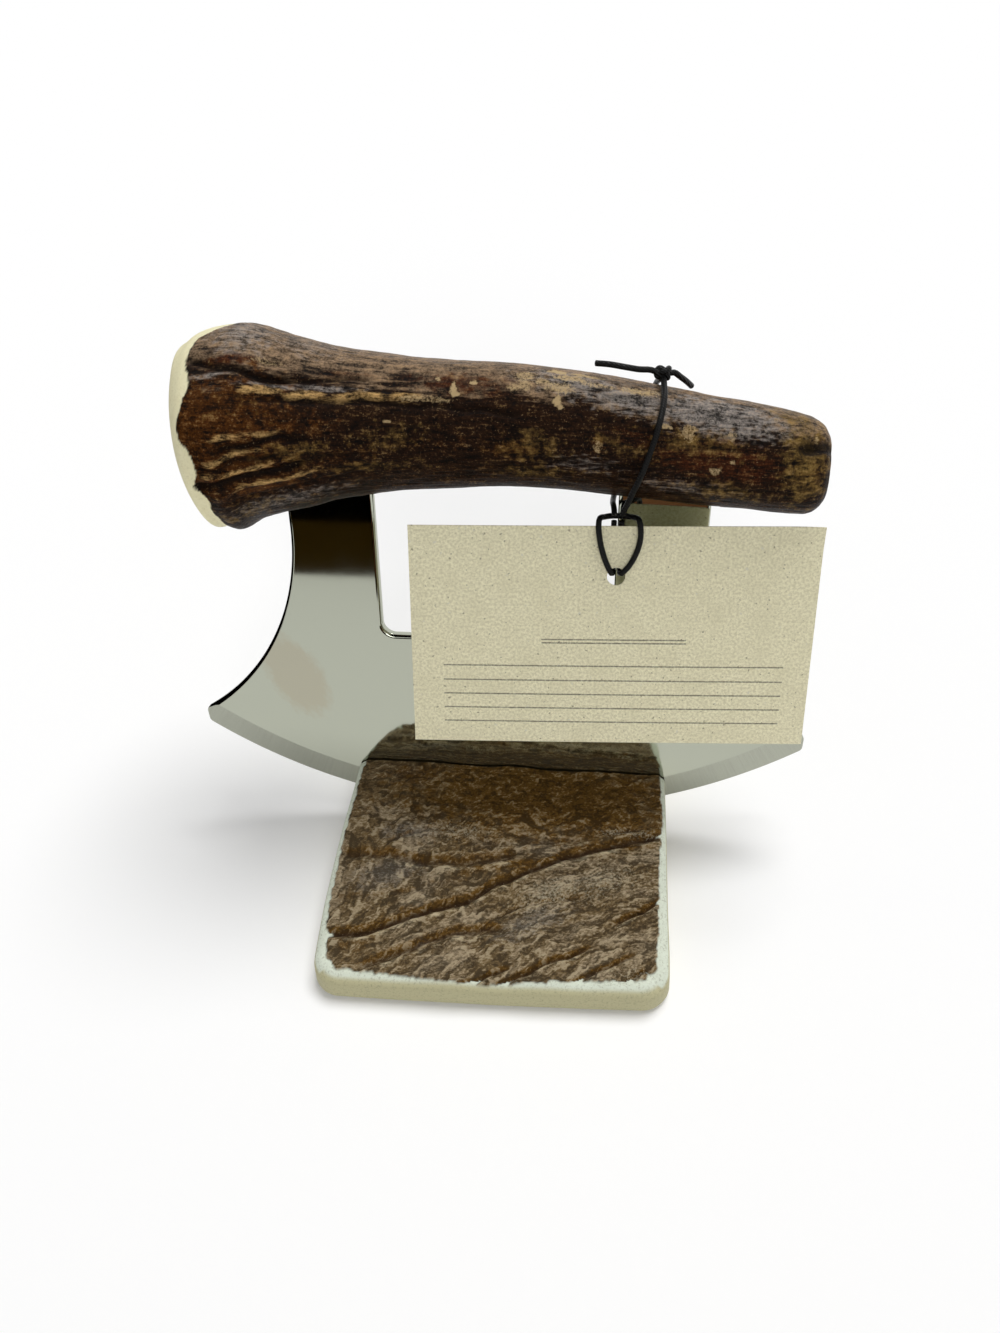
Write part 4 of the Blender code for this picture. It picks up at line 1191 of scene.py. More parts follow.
def ground_steel(settings):
    """The same steel where the edge was ground: fine parallel scratches square to the edge."""
    material, tree, shader = new_material("ground_stainless_edge")
    plane = flat_place(tree, "blade_plane")
    centred_inputs = {0: plane, 1: (0, CUTTING_EDGE_RADIUS, 0)}
    centred = add_node(tree, "ShaderNodeVectorMath", centred_inputs, operation="SUBTRACT").outputs["Vector"]
    # Round the edge's centre, so that the scratches fan out square to the edge, about 0.35 mm apart
    parts = add_node(tree, "ShaderNodeSeparateXYZ", {"Vector": centred})
    turn = calculated(tree, "ARCTAN2", parts.outputs["X"], parts.outputs["Y"])
    reach = add_node(tree, "ShaderNodeVectorMath", {0: centred}, operation="LENGTH").outputs["Value"]
    along = calculated(tree, "MULTIPLY", turn, SCRATCHES_PER_RADIAN)
    across = calculated(tree, "MULTIPLY", reach, SCRATCHES_OUTWARD)
    scratch_place = add_node(tree, "ShaderNodeCombineXYZ", {"X": along, "Y": across}).outputs["Vector"]
    scratches = pattern(tree, scratch_place, "scratches")
    inputs = {
        "Base Color": mixed(tree, scratches, settings.ground, settings.steel),
        "Normal": bumped(tree, scratches, SCRATCH_BUMP),
        "Metallic": 1.0,
        "Roughness": GROUND_ROUGHNESS,
    }
    connect(tree, shader, inputs)
    return material


# Handle


def furrows_at(share, half):
    """The furrows that cross the section at a share: angle, half width and depth of each."""
    found = []
    for index, (half_width, depth, points) in enumerate(HANDLE_FURROWS):
        first, last = points[0][0], points[-1][0]
        if first < share < last:
            around = math.radians(smooth_between(points, share, 1))
            sway_place = Vector((share * SWAYS_ALONG_HANDLE, index * SWAY_SEED_STEP, 0))
            sway = FURROW_SWAY / max(half, GRIP_HALF_HEIGHT) * noise.noise(sway_place)
            fade = min(1, (share - first) / FURROW_FADE_SHARE, (last - share) / FURROW_FADE_SHARE)
            found.append((around + sway, half_width, depth * fade))
    return found


def patches_at(share):
    """The patches that the section at a share may touch."""
    return [
        (kind, *patch)
        for kind, patches in HANDLE_PATCHES.items()
        for patch in patches
        if abs(share - patch[0]) * HANDLE_LENGTH < patch[2] * PATCH_REACH
    ]


def station_share(lengthwise):
    """The share along the handle and the share of the section's radius, for a grid column from -1 to 1."""
    body = 1 - 2 * CAP_SHARE
    cap = 1.0
    if abs(lengthwise) > body:
        cap = max(CAP_HOLE_SHARE, (1 - abs(lengthwise)) / (1 - body))
    along = clamped(lengthwise / body, -1)
    gathered = along * (1 - END_GATHERING) + math.sin(along * math.pi / 2) * END_GATHERING
    return (gathered + 1) / 2, cap


def bark_relief(place, share, around, radius, furrows, patches):
    """How far the bark stands out, and the marks that its colour follows."""
    strands = drawn_noise(place, STRAND_SIZES)
    fine = drawn_noise(place, FINE_SIZES)
    lumps = noise.noise(place / HANDLE_LUMP_SIZE)
    flared = smooth_step(*LUMP_SHARES[::-1], share)
    lump_height = GRIP_LUMP_HEIGHT + (FLARE_LUMP_HEIGHT - GRIP_LUMP_HEIGHT) * flared
    pebbles = noise.noise(place / PEBBLE_SIZE)
    relief = lump_height * lumps + STRAND_HEIGHT * strands + FINE_HEIGHT * fine + PEBBLE_HEIGHT * pebbles
    furrow = 0.0
    crest = 0.0
    for centre, half_width, depth in furrows:
        off = angle_between(around, centre) * radius / half_width
        if abs(off) < FURROW_REACH:
            bite = math.exp(-off * off) * depth
            relief -= bite
            if depth > 0:
                furrow = max(furrow, bite / FULL_FURROW_DEPTH)
            else:
                crest = max(crest, -bite / FULL_CREST_HEIGHT)
    marks = dict.fromkeys(MARK_NAMES, 0.0)
    for kind, middle, degrees, half_length, half_width, strength in patches:
        along = (share - middle) * HANDLE_LENGTH / half_length
        aside = angle_between(around, math.radians(degrees)) * radius / half_width
        ragged = PATCH_RAGGEDNESS * drawn_noise(place, PATCH_EDGE_SIZES)
        full = SCAR_CORE if kind == "pale" else 0.0
        inside = smooth_step(PATCH_RIM, full, math.hypot(along, aside) + ragged)
        marks[kind] = max(marks[kind], inside * strength)
    # The height mark is painted light: it makes the higher bark lighter in colour
    strand_weight, fine_weight, pebble_weight = RELIEF_LIGHT_WEIGHTS
    marks["height"] = 0.5 + strand_weight * strands + fine_weight * fine + pebble_weight * pebbles
    marks["furrow"] = min(furrow, 1)
    middle, swing = HANDLE_CREST_COVER
    marks["crest"] = min(crest, 1) * clamped(middle + swing * drawn_noise(place, CREST_BREAK_SIZES))
    # The top of the grip is painted pale where it faces up: partly the hand's wear, partly painted light and
    # sheen
    lump_weight, strand_weight = WORN_AND_LIT_TOP_WEIGHTS
    marks["worn_and_sheen"] = smooth_step(*WORN_AND_LIT_TOP_RANGE, math.sin(around) + lump_weight * lumps + strand_weight * strands)
    relief -= SCAR_DEPTH * marks["pale"]
    return relief, marks


def handle_mesh(amount):
    """The antler beam with its bark, lofted along X through its profile, and slotted for the blade's legs."""
    bm = bmesh.new()
    bmesh.ops.create_grid(bm, x_segments=HANDLE_STATIONS, y_segments=HANDLE_SIDES, size=1)
    layers = {name: bm.verts.layers.float.new(name) for name in MARK_NAMES}
    sections = {}
    for vert in bm.verts:
        lengthwise = round(vert.co.x, GRID_DIGITS)
        if lengthwise not in sections:
            share, cap = station_share(lengthwise)
            half = GRIP_HALF_HEIGHT * smooth_between(HANDLE_PROFILE_SHARES, share, 1)
            rise = GRIP_HALF_HEIGHT * smooth_between(HANDLE_PROFILE_SHARES, share, 2)
            sections[lengthwise] = (share, cap, half, rise, furrows_at(share, half), patches_at(share))
        share, cap, half, rise, furrows, patches = sections[lengthwise]
        around = vert.co.y * math.pi
        ridge = sum(RIDGE_DEPTH * math.cos(count * around + turn * share) for count, turn in HANDLE_RIDGES)
        radius = half + ridge * min(half / GRIP_HALF_HEIGHT, 1)
        forward, up = -math.cos(around) * GRIP_DEPTH_SHARE, math.sin(around)
        x = HANDLE_CENTRE_X + HANDLE_LENGTH * (share - 1 / 2)
        axis = HANDLE_AXIS_HEIGHT + rise
        place = Vector((x, radius * cap * forward, axis + radius * cap * up))
        relief, marks = bark_relief(place, share, around, radius, furrows, patches)
        start = smooth_between(BARK_START_SHARES, math.degrees(around), 1)
        start += sum(reach * noise.noise(place / size) for reach, size in BARK_START_NOISES)
        start -= BARK_START_IN_FURROW * marks["furrow"]
        ivory = smooth_step(*BARK_START_STEP, share - start)
        # The sanded end is smooth, and the bark ends on it in a low step
        relief = relief * (1 - ivory) * amount - SANDED_END_DROP * ivory
        radius = (radius + relief) * cap
        bulge = (1 - cap**2) * CAP_BULGE
        x += -bulge if lengthwise < 0 else bulge
        vert.co = (x, radius * forward, axis + radius * up)
        marks["ivory"] = ivory
        marks["worn_and_sheen"] *= cap
        for name, layer in layers.items():
            vert[layer] = marks[name]
    bmesh.ops.remove_doubles(bm, verts=bm.verts, dist=WELD_DISTANCE)
    holes = [edge for edge in bm.edges if edge.is_boundary]
    bmesh.ops.contextual_create(bm, geom=holes)
    mesh = cut(mesh_from(bm, "handle_bark"), *[leg_slot_mesh(side) for side in (-1, 1)])
    mesh.transform(KNIFE_MATRIX)
    return finished(mesh, "handle_bark")


def leg_slot_mesh(side):
    """The room in the handle for the left or the right leg and its bedding."""
    middle = side * (WINDOW_WIDTH + LEG_WIDTH) / 2
    half_width = LEG_WIDTH / 2 + SLOT_MARGIN
    half_depth = BLADE_THICKNESS / 2 + SLOT_MARGIN
    low = (middle - half_width, -half_depth, HANDLE_AXIS_HEIGHT - 2 * GRIP_HALF_HEIGHT - CUT_OVERRUN)
    high = (middle + half_width, half_depth, TANG_TOP_HEIGHT + SLOT_MARGIN)
    return box_mesh("leg_slot", low, high)


def broken_up(tree, mark, breaks, swing):
    """A mark with its weaker places broken up by a pattern, more so with a wide swing."""
    both = calculated(tree, "MULTIPLY_ADD", breaks, swing, mark)
    low, high = MARK_RANGE
    return ranged(tree, both, low + swing / 2, high + swing / 2)


def bark_colour(tree, settings, marks, fibres, grain, blotches, tone_weights):
    """Brown bark under its patches, with tan tips, dark furrows, pale scars, painted sheen and painted shade.
    """
    colour = settings.brown_bark
    # The grey and the worn patches also carry painted sheen and painted light on the handle's top
    for mark, tint, breaks in (
        ("worn_and_sheen", settings.worn_bark, fibres),
        ("grey_and_sheen", settings.grey_bark, fibres),
        ("warm", settings.red_bark, fibres),
        ("amber", settings.amber_bark, blotches),
        ("olive", settings.olive_bark, blotches),
        ("crest", settings.crest_bark, fibres),
    ):
        colour = mixed(tree, broken_up(tree, marks[mark], breaks, PATCH_SWING), colour, tint)
    # Painted light and shade of the relief, with the fibres, grain and blotches, set how light the bark is
    tone = calculated(tree, "MULTIPLY", marks["height"], tone_weights[0])
    for share, weight in zip((fibres, grain, blotches), tone_weights[1:]):
        tone = calculated(tree, "MULTIPLY_ADD", share, weight, tone)
    middle = sum(tone_weights) / 2
    shade_range = [middle + off for off in SHADE_TONES]
    shade = ranged(tree, tone, *shade_range, settings.least_shade, settings.most_shade)
    colour = mixed(tree, 1.0, colour, shade, "MULTIPLY")
    # The palest tones take the tips' colour, so the tips partly follow the painted light of the relief
    tip_range = [middle + off for off in TIP_TONES]
    colour = mixed(tree, ranged(tree, tone, *tip_range, 0.0, settings.tip_share), colour, settings.tip)
    furrow = calculated(tree, "MULTIPLY", marks["furrow"], FURROW_SHADE)
    colour = mixed(tree, furrow, colour, settings.furrow)
    return mixed(tree, broken_up(tree, marks["pale"], grain, SCAR_SWING), colour, settings.scar)


def sanded_colour(tree, settings, marks, grain, blotches):
    """Antler sanded down to its ivory inside, with soft clouds, faint pores and darker sawn faces."""
    clouds = ranged(tree, blotches, *CLOUD_RANGE)
    colour = mixed(tree, clouds, settings.ivory, settings.ivory_shade)
    colour = mixed(tree, marks["sawn"], colour, settings.sawn)
    pores = ranged(tree, grain, *PORE_RANGE, 0.0, settings.pore_share)
    return mixed(tree, pores, colour, settings.pore)


def antler_bark(settings, name, gloss, fibre_lengths, tone_weights):
    """Antler bark, the grown outer skin: brown fibres, tan where worn and under painted light, amber where
    thin.

    It was scrubbed and oiled, so it has a satin gloss that follows the fibres. Where the bark ends, the
    sanded antler shows, smooth and pale.
    """
    material, tree, shader = new_material(name)
    roughness, shine = gloss
    place = solid_place(tree)
    marks = {
        mark: add_node(tree, "ShaderNodeAttribute", {}, attribute_name=mark).outputs["Fac"]
        for mark in MARK_NAMES
    }
    drawn_inputs = {"Vector": place, "Scale": fibre_lengths}
    drawn_out = add_node(tree, "ShaderNodeMapping", drawn_inputs).outputs["Vector"]
    fibres = pattern(tree, drawn_out, "fibres")
    blotches = pattern(tree, place, "blotches")
    grain = pattern(tree, place, "grain")
    bark = bark_colour(tree, settings, marks, fibres, grain, blotches, tone_weights)
    sanded = sanded_colour(tree, settings, marks, grain, blotches)
    smoother, rougher = ROUGHNESS_SWING
    bark_roughness = ranged(tree, fibres, 0.0, 1.0, roughness + smoother, roughness + rougher)
    roughness_inputs = {
        MIX_FACTOR: marks["ivory"],
        MIX_FIRST_NUMBER: bark_roughness,
        MIX_SECOND_NUMBER: SANDED_ROUGHNESS,
    }
    roughness_mix = add_node(tree, "ShaderNodeMix", roughness_inputs, data_type="FLOAT")
    # The sanded places are smooth, so the fibres' bump fades there
    fibre_height = calculated(tree, "MULTIPLY", fibres, calculated(tree, "SUBTRACT", 1.0, marks["ivory"]))
    fibre_normal = bumped(tree, fibre_height, FIBRE_BUMP)
    inputs = {
        "Base Color": mixed(tree, marks["ivory"], bark, sanded),
        "Roughness": roughness_mix.outputs[MIX_NUMBER_RESULT],
        "Normal": bumped(tree, grain, GRAIN_BUMP, Normal=fibre_normal),
        "Specular IOR Level": shine,
    }
    connect(tree, shader, inputs)
    return material


def cured_resin():
    """Clear epoxy gone amber round the legs: glossy, with small trapped bubbles."""
    material, tree, shader = new_material("cured_amber_epoxy")
    place = solid_place(tree)
    clouds = pattern(tree, place, "resin_clouds")
    bubble_inputs = {"Vector": place, "Scale": BUBBLES_PER_METRE}
    bubbles = add_node(tree, "ShaderNodeTexVoronoi", bubble_inputs).outputs["Distance"]
    inputs = {
        "Base Color": mixed(tree, clouds, linear(RESIN_COLOUR), linear(RESIN_CLOUD_COLOUR)),
        "Normal": bumped(tree, bubbles, BUBBLE_BUMP),
        "Roughness": RESIN_ROUGHNESS,
    }
    connect(tree, shader, inputs)
    return material


# Stand


def stand_top(share_back, edge_distance, x, y):
    """The height of the slab's top above the table, before its flakes and furrows."""
    groove_share = STAND_FRONT_DEPTH / (STAND_FRONT_DEPTH + STAND_BACK_DEPTH)
    if share_back < groove_share:
        along = share_back / groove_share
        height = STAND_FRONT_THICKNESS + (STAND_GROOVE_THICKNESS - STAND_FRONT_THICKNESS) * along
    else:
        along = (share_back - groove_share) / (1 - groove_share)
        height = STAND_GROOVE_THICKNESS + (STAND_BACK_THICKNESS - STAND_GROOVE_THICKNESS) * along**2
    wave_place = Vector((x / BARK_WAVE_LENGTH, y / BARK_WAVE_LENGTH / 2, 0))
    height += BARK_WAVE_HEIGHT * noise.noise(wave_place)
    sanded = max(0, 1 - edge_distance / SANDED_EDGE_WIDTH)
    return height - SANDED_EDGE_DROP * sanded**2


def slab_furrow(x, y):
    """How deep the furrows bite at a place on the slab, their lip below, and the thin amber bark above."""
    bite, lip, amber = 0.0, 0.0, 0.0
    for index, (half_width, depth, points) in enumerate(STAND_FURROWS):
        first, last = points[0][0], points[-1][0]
        if not first < x < last:
            continue
        sway_place = Vector((x / SLAB_SWAY_LENGTH, index * SLAB_SWAY_SEED_STEP, 0))
        middle = smooth_between(points, x, 1) + SLAB_FURROW_SWAY * noise.noise(sway_place)
        off = (y - middle) / half_width
        if abs(off) < SLAB_FURROW_REACH:
            fade = min(1, (x - first) / SLAB_FURROW_FADE, (last - x) / SLAB_FURROW_FADE)
            bite = max(bite, depth * fade * math.exp(-off * off))
            lip = max(lip, depth * fade * math.exp(-((off - LIP_PLACE) ** 2) * LIP_SHARPNESS))
            thinned = math.exp(-(((off - AMBER_PLACE) / AMBER_REACH) ** 2))
            amber = max(amber, depth / FULL_SLAB_FURROW * fade * thinned)
    return bite, lip, min(amber, 1)


def flakes_at(x, across):
    """Flakes that lie over each other: their height from 0 to 1, and the light along their edges."""
    height, edge = 0.0, 0.0
    for index, (length, width, weight) in enumerate(FLAKE_SIZES):
        layer = noise.noise(Vector((x / length, across / width, index * FLAKE_SEED_STEP)))
        height += weight * smooth_step(-FLAKE_EDGE, FLAKE_EDGE, layer)
        edge += weight * layer / FLAKE_LIGHT_RISE * math.exp(-((layer / FLAKE_LIGHT_REACH) ** 2))
    return height, edge


def slab_relief(x, y):
    """The flaky relief of the slab's bark, and the marks that its colour follows."""
    half_depth = (STAND_FRONT_DEPTH + STAND_BACK_DEPTH) / 2
    climb = BARK_CLIMB * smooth_step(*BARK_CLIMB_SHARES, y / half_depth)
    skewed = y - climb * x
    sway = FLAKE_SWAY * slab_noise("sway", x, y)
    crumple = FLAKE_CRUMPLE * slab_noise("crumple", x, y)
    flakes, edges = flakes_at(x, skewed + sway + crumple)
    lumps = slab_noise("lumps", x, skewed)
    # Near the groove the bark is calmer, and less worn and so darker: painted shade at the blade's foot
    calm_and_shade = smooth_step(*CALM_AND_SHADED_PLACES, y) * CALM_SHARE
    bite, lip, amber = slab_furrow(x, y)
    relief = FLAKE_HEIGHT * (flakes - 0.5) * (1 - calm_and_shade) + STAND_LUMP_HEIGHT * lumps
    relief += LIP_SHARE * lip - bite
    marks = dict.fromkeys(MARK_NAMES, 0.0)
    for kind, middle_x, middle_y, half_length, half_width, strength in STAND_PATCHES:
        off_x = x - middle_x
        off_y = y - middle_y - climb * off_x
        if abs(off_x) < PATCH_REACH * half_length and abs(off_y) < PATCH_REACH * half_width:
            ragged = SLAB_PATCH_RAGGEDNESS * slab_noise("patch_edges", x, skewed)
            from_middle = math.hypot(off_x / half_length, off_y / half_width)
            inside = smooth_step(SLAB_PATCH_RIM, 0.0, from_middle + ragged)
            marks[kind] = max(marks[kind], inside * strength)
    # The height mark holds painted light on the flakes' edges and painted shade just below them
    edge_weight, flake_weight = SLAB_EDGE_LIGHT_WEIGHTS
    light = edge_weight * edges + flake_weight * (flakes - 0.5)
    marks["height"] = 0.5 + light * (1 - CALM_LIGHT_SHARE * calm_and_shade)
    marks["furrow"] = min(bite / FULL_SLAB_FURROW, 1) ** 2
    middle, swing = LIP_COVER
    unbroken = clamped(middle + swing * slab_noise("lip_breaks", x, y))
    marks["crest"] = min(lip / FULL_LIP_HEIGHT, 1) * unbroken
    marks["amber"] = max(marks["amber"], amber)
    middle, drift_weight, flake_weight, most = SLAB_WORN_COVER
    worn_and_sheen = middle + drift_weight * slab_noise("drifts", x, skewed) + flake_weight * (flakes - 0.5)
    marks["worn_and_sheen"] = (1 - calm_and_shade) * clamped(worn_and_sheen, high=most)
    return relief, marks


def rim_in_order(bm):
    """The border's vertices in order round it."""
    first = next(edge for edge in bm.edges if edge.is_boundary)
    ordered = list(first.verts)
    while True:
        here, before = ordered[-1], ordered[-2]
        border = [edge.other_vert(here) for edge in here.link_edges if edge.is_boundary]
        ahead = next(vert for vert in border if vert is not before)
        if ahead is ordered[0]:
            return ordered
        ordered.append(ahead)


def slab_mesh(amount):
    """The slab: a fine grid pulled to the outline and to the bark's height, with rounded sides down."""
    depth = STAND_FRONT_DEPTH + STAND_BACK_DEPTH
    lean_in_x = 1 - 2 * STAND_SIDE_TAPER / STAND_WIDTH
    lean_in_y = 1 - 2 * STAND_SIDE_TAPER / depth
    bm = bmesh.new()
    bmesh.ops.create_grid(bm, x_segments=STAND_COLUMNS, y_segments=STAND_ROWS, size=1)
    layers = {name: bm.verts.layers.float.new(name) for name in MARK_NAMES}
    sides_at = {}
    for vert in bm.verts:
        across, along = vert.co.x, vert.co.y
        key = round(along, GRID_DIGITS)
        share_back = (along + 1) / 2
        if key not in sides_at:
            sides_at[key] = (
                1 + smooth_between(STAND_SIDE_SHARES, share_back, 1),
                1 + smooth_between(STAND_SIDE_SHARES, share_back, 2),
                smooth_between(BARK_SIDE_INSETS, share_back, 1),
                smooth_between(BARK_SIDE_INSETS, share_back, 2),
            )
        side = 0 if across < 0 else 1
        half_width = STAND_WIDTH / 2 * sides_at[key][side]
        x, y = across * half_width, along * depth / 2
        over_x = max(0, abs(x) - half_width + STAND_CORNER_RADIUS)
        over_y = max(0, abs(y) - depth / 2 + STAND_CORNER_RADIUS)
        corner_inset = 0.0
        if over_x and over_y:
            pull = max(over_x, over_y) / math.hypot(over_x, over_y)
            x -= math.copysign(over_x * (1 - pull), x)
            y -= math.copysign(over_y * (1 - pull), y)
            corner_inset = CORNER_BARK_INSET * (1 - pull) / (1 - math.sqrt(1 / 2))
        y += STAND_FRONT_SKEW * ((across + 1) / 2) ** 2 * (1 - share_back)
        side_distance = (1 - abs(across)) * half_width
        end_distance = (1 - abs(along)) * depth / 2
        x += STAND_CENTRE_X
        height = stand_top(share_back, min(side_distance, end_distance), x, y)
        x = STAND_CENTRE_X + (x - STAND_CENTRE_X) * lean_in_x
        y *= lean_in_y
        end_inset = smooth_between(BARK_FRONT_INSETS, across, 1) if along < 0 else BARK_BACK_INSET
        relief, marks = slab_relief(x, y)
        inside = min(side_distance - sides_at[key][side + 2], end_distance - end_inset) - corner_inset
        for name, reach in BARK_EDGE_REACHES.items():
            inside += reach * slab_noise(name, x, y)
        inside -= BARK_EDGE_IN_FURROW * marks["furrow"]
        bark = smooth_step(*BARK_EDGE_STEP, inside)
        height += (relief * amount + BARK_EDGE_RISE) * bark - BARK_EDGE_DROP * (1 - bark)
        vert.co = (x, y, height)
        marks["ivory"] = 1 - bark
        marks["sawn"] = smooth_step(*SAWN_EDGE_STEP, end_distance) if along < 0 else 0.0
        for name, layer in layers.items():
            vert[layer] = marks[name]
    rim = rim_in_order(bm)
    upper = rim
    for down, outward in SIDE_RINGS:
        widen_x = 1 + (1 / lean_in_x - 1) * outward
        widen_y = 1 + (1 / lean_in_y - 1) * outward
        lower = []
        for top in rim:
            x = STAND_CENTRE_X + (top.co.x - STAND_CENTRE_X) * widen_x
            made = bm.verts.new((x, top.co.y * widen_y, top.co.z * down))
            made[layers["ivory"]] = 1.0
            made[layers["sawn"]] = 1.0
            made[layers["height"]] = 0.5
            lower.append(made)
        for i, vert in enumerate(lower):
            bm.faces.new((upper[i - 1], upper[i], vert, lower[i - 1]))
        upper = lower
    bm.faces.new(upper)
    half_gap = BLADE_THICKNESS / 2 + GROOVE_CLEARANCE
    above = STAND_GROOVE_THICKNESS + STAND_BACK_THICKNESS
    groove_low = (-STAND_WIDTH, -half_gap, -GROOVE_UNDERCUT)
    groove = box_mesh("groove", groove_low, (STAND_WIDTH, half_gap, above))
    groove.transform(KNIFE_MATRIX)
    return finished(cut(mesh_from(bm, "stand_slab"), groove), "stand_slab")


# Tag


def card_mesh():
    """The card: a thin bowed sheet with one bent corner and a punched hole. Its front is another material."""
    left = -TAG_WIDTH / 2 - TAG_HOLE_OFF_CENTRE
    top = -TAG_TOP_UNDER_PIVOT
    bm = bmesh.new()
    bmesh.ops.create_grid(bm, x_segments=TAG_COLUMNS, y_segments=TAG_ROWS, size=1)
    for vert in bm.verts:
        x = left + TAG_WIDTH * (vert.co.x + 1) / 2
        z = top - TAG_HEIGHT * (1 - vert.co.y) / 2
        vert.co = (x, 0, z)
    bmesh.ops.recalc_face_normals(bm, faces=bm.faces)
    bmesh.ops.solidify(bm, geom=bm.faces, thickness=TAG_THICKNESS)
    middle = sum((vert.co.y for vert in bm.verts)) / len(bm.verts)
    for vert in bm.verts:
        vert.co.y -= middle
    sheet = mesh_from(bm, "card_sheet")
    bm = bmesh.new()
    bmesh.ops.create_cone(
        bm,
        cap_ends=True,
        segments=HOLE_SIDES,
        radius1=TAG_HOLE_DIAMETER / 2,
        radius2=TAG_HOLE_DIAMETER / 2,
        depth=CUT_OVERRUN,
        matrix=Matrix.Translation((0, 0, top - TAG_HOLE_FROM_TOP)) @ Matrix.Rotation(math.pi / 2, 4, "X"),
    )
    mesh = cut(sheet, mesh_from(bm, "punch"))
    flat_map(mesh, "card_plane")
    corner = Vector((left + TAG_WIDTH, 0, top))
    for vert in mesh.vertices:
        off_middle = (vert.co.x - left - TAG_WIDTH / 2) / (TAG_WIDTH / 2)
        from_corner = math.hypot(vert.co.x - corner.x, vert.co.z - corner.z)
        bend = max(0, 1 - from_corner / CORNER_BEND_REACH) ** 2
        vert.co.y += CARD_BOW * off_middle**2 - CORNER_BEND_DEPTH * bend - TAG_IN_FRONT_OF_PIVOT
    for face in mesh.polygons:
        face.material_index = 0 if face.normal.y < -FRONT_FACING else 1
    mesh.transform(TAG_MATRIX)
    return finished(mesh, "tag_card", smooth=False)


def flecked_card(settings, name, ruled):
    """Uncoated speckled card: matt cream fibre board with small brown and pale flecks, ruled on its front."""
    material, tree, shader = new_material(name)
    plane = flat_place(tree, "card_plane")
    fibres = pattern(tree, plane, "card_fibres")
    fibre_share = ranged(tree, fibres, *CARD_FIBRE_RANGE)
    colour = mixed(tree, fibre_share, settings.card, settings.card_shade)
    cloud_share = ranged(tree, pattern(tree, plane, "card_clouds"), *CARD_CLOUD_RANGE)
    colour = mixed(tree, cloud_share, colour, settings.card_shade)
    for specks, tint in (("dark_flecks", settings.fleck), ("pale_fibres", settings.fibre)):
        speck_share = ranged(tree, pattern(tree, plane, specks), *SPECK_RANGES[specks])
        colour = mixed(tree, speck_share, colour, tint)
    if ruled:
        colour = mixed(tree, ruled_lines(tree, plane, fibres), colour, settings.ink)
    inputs = {
        "Base Color": colour,
        "Normal": bumped(tree, fibres, CARD_BUMP),
        "Roughness": CARD_ROUGHNESS,
        "Specular IOR Level": CARD_SHINE,
    }
    connect(tree, shader, inputs)
    return material


def ruled_lines(tree, plane, fibres):
    """How much ink lies at a place: a few plain ruled lines, a double one over five single ones."""
    parts = add_node(tree, "ShaderNodeSeparateXYZ", {"Vector": plane})
    from_middle = calculated(tree, "ABSOLUTE", parts.outputs["X"])
    ink = 0.0
    for height, half_length in RULED_LINES:
        off = calculated(tree, "SUBTRACT", parts.outputs["Y"], height)
        line = ranged(tree, calculated(tree, "ABSOLUTE", off), *RULE_RANGE)
        within = calculated(tree, "LESS_THAN", from_middle, half_length)
        ink = calculated(tree, "MAXIMUM", calculated(tree, "MULTIPLY", line, within), ink)
    return calculated(tree, "MULTIPLY", ink, ranged(tree, fibres, *WORN_INK_RANGE))


# Cord


def new_cord(name, route, matrix, body, settings, cad_nodes):
    """A round cord along a route, which starts where the cord leaves what it hangs on."""
    points = [matrix @ place for place in smooth_route(route, CORD_POINT_SPACING)]
    curve = poly_curve(name, "3D", points, False)
    curve.bevel_depth = settings.diameter / 2
    curve.use_fill_caps = True
    curve.materials.append(waxed_cord(settings))
    piece = new_piece(name, curve, body, "cord_black", *cad_nodes)


def knot_mesh(settings):
    """A trefoil of the same cord, pulled tight: the overhand knot on top of the handle."""
    line = []
    for i in range(KNOT_POINTS):
        t = 2 * math.pi * i / KNOT_POINTS
        x = math.sin(t) + 2 * math.sin(2 * t)
        y = math.cos(t) - 2 * math.cos(2 * t)
        line.append(Vector((x, y, -KNOT_DEPTH_SHARE * math.sin(3 * t))) * KNOT_LOOP_SIZE)
    curve = poly_curve("knot_line", "3D", line, True)
    curve.bevel_depth = settings.diameter / 2
    mesh = evaluated_mesh(helper_object("knot_line", curve))
    mesh.transform(KNIFE_MATRIX @ Matrix.Translation(KNOT_CENTRE) @ KNOT_TURNS)
    return finished(mesh, "cord_overhand_knot")


def waxed_cord(settings):
    """Thin black waxed polyester cord: a fine braid that shows as small slanted glints."""
    if "waxed_polyester_cord" in bpy.data.materials:
        return bpy.data.materials["waxed_polyester_cord"]
    material, tree, shader = new_material("waxed_polyester_cord")
    # Strands about 0.4 mm wide
    weave_inputs = {"Vector": solid_place(tree), **CORD_WEAVE}
    weave_settings = {"wave_type": "BANDS", "bands_direction": "DIAGONAL"}
    weave = add_node(tree, "ShaderNodeTexWave", weave_inputs, **weave_settings).outputs["Fac"]
    inputs = {
        "Base Color": mixed(tree, weave, settings.cord, settings.strand),
        "Normal": bumped(tree, weave, WEAVE_BUMP),
        "Roughness": CORD_ROUGHNESS,
        "Specular IOR Level": CORD_SHINE,
    }
    connect(tree, shader, inputs)
    return material


# Stage


def stage_sheet(name, corners, material):
    """A flat sheet of the studio, which isn't part of the object."""
    mesh = bpy.data.meshes.new(name)
    mesh.from_pydata(corners, [], [tuple(range(len(corners)))])
    mesh.materials.append(material)
    made = helper_object(name, mesh)
    return made


def seen_directly(tree):
    """1 for rays from the camera, in reflections and through glass, and 0 for the rest."""
    rays = add_node(tree, "ShaderNodeLightPath", {})
    seen = calculated(tree, "MAXIMUM", rays.outputs["Is Camera Ray"], rays.outputs["Is Glossy Ray"])
    return calculated(tree, "MAXIMUM", seen, rays.outputs["Is Transmission Ray"])


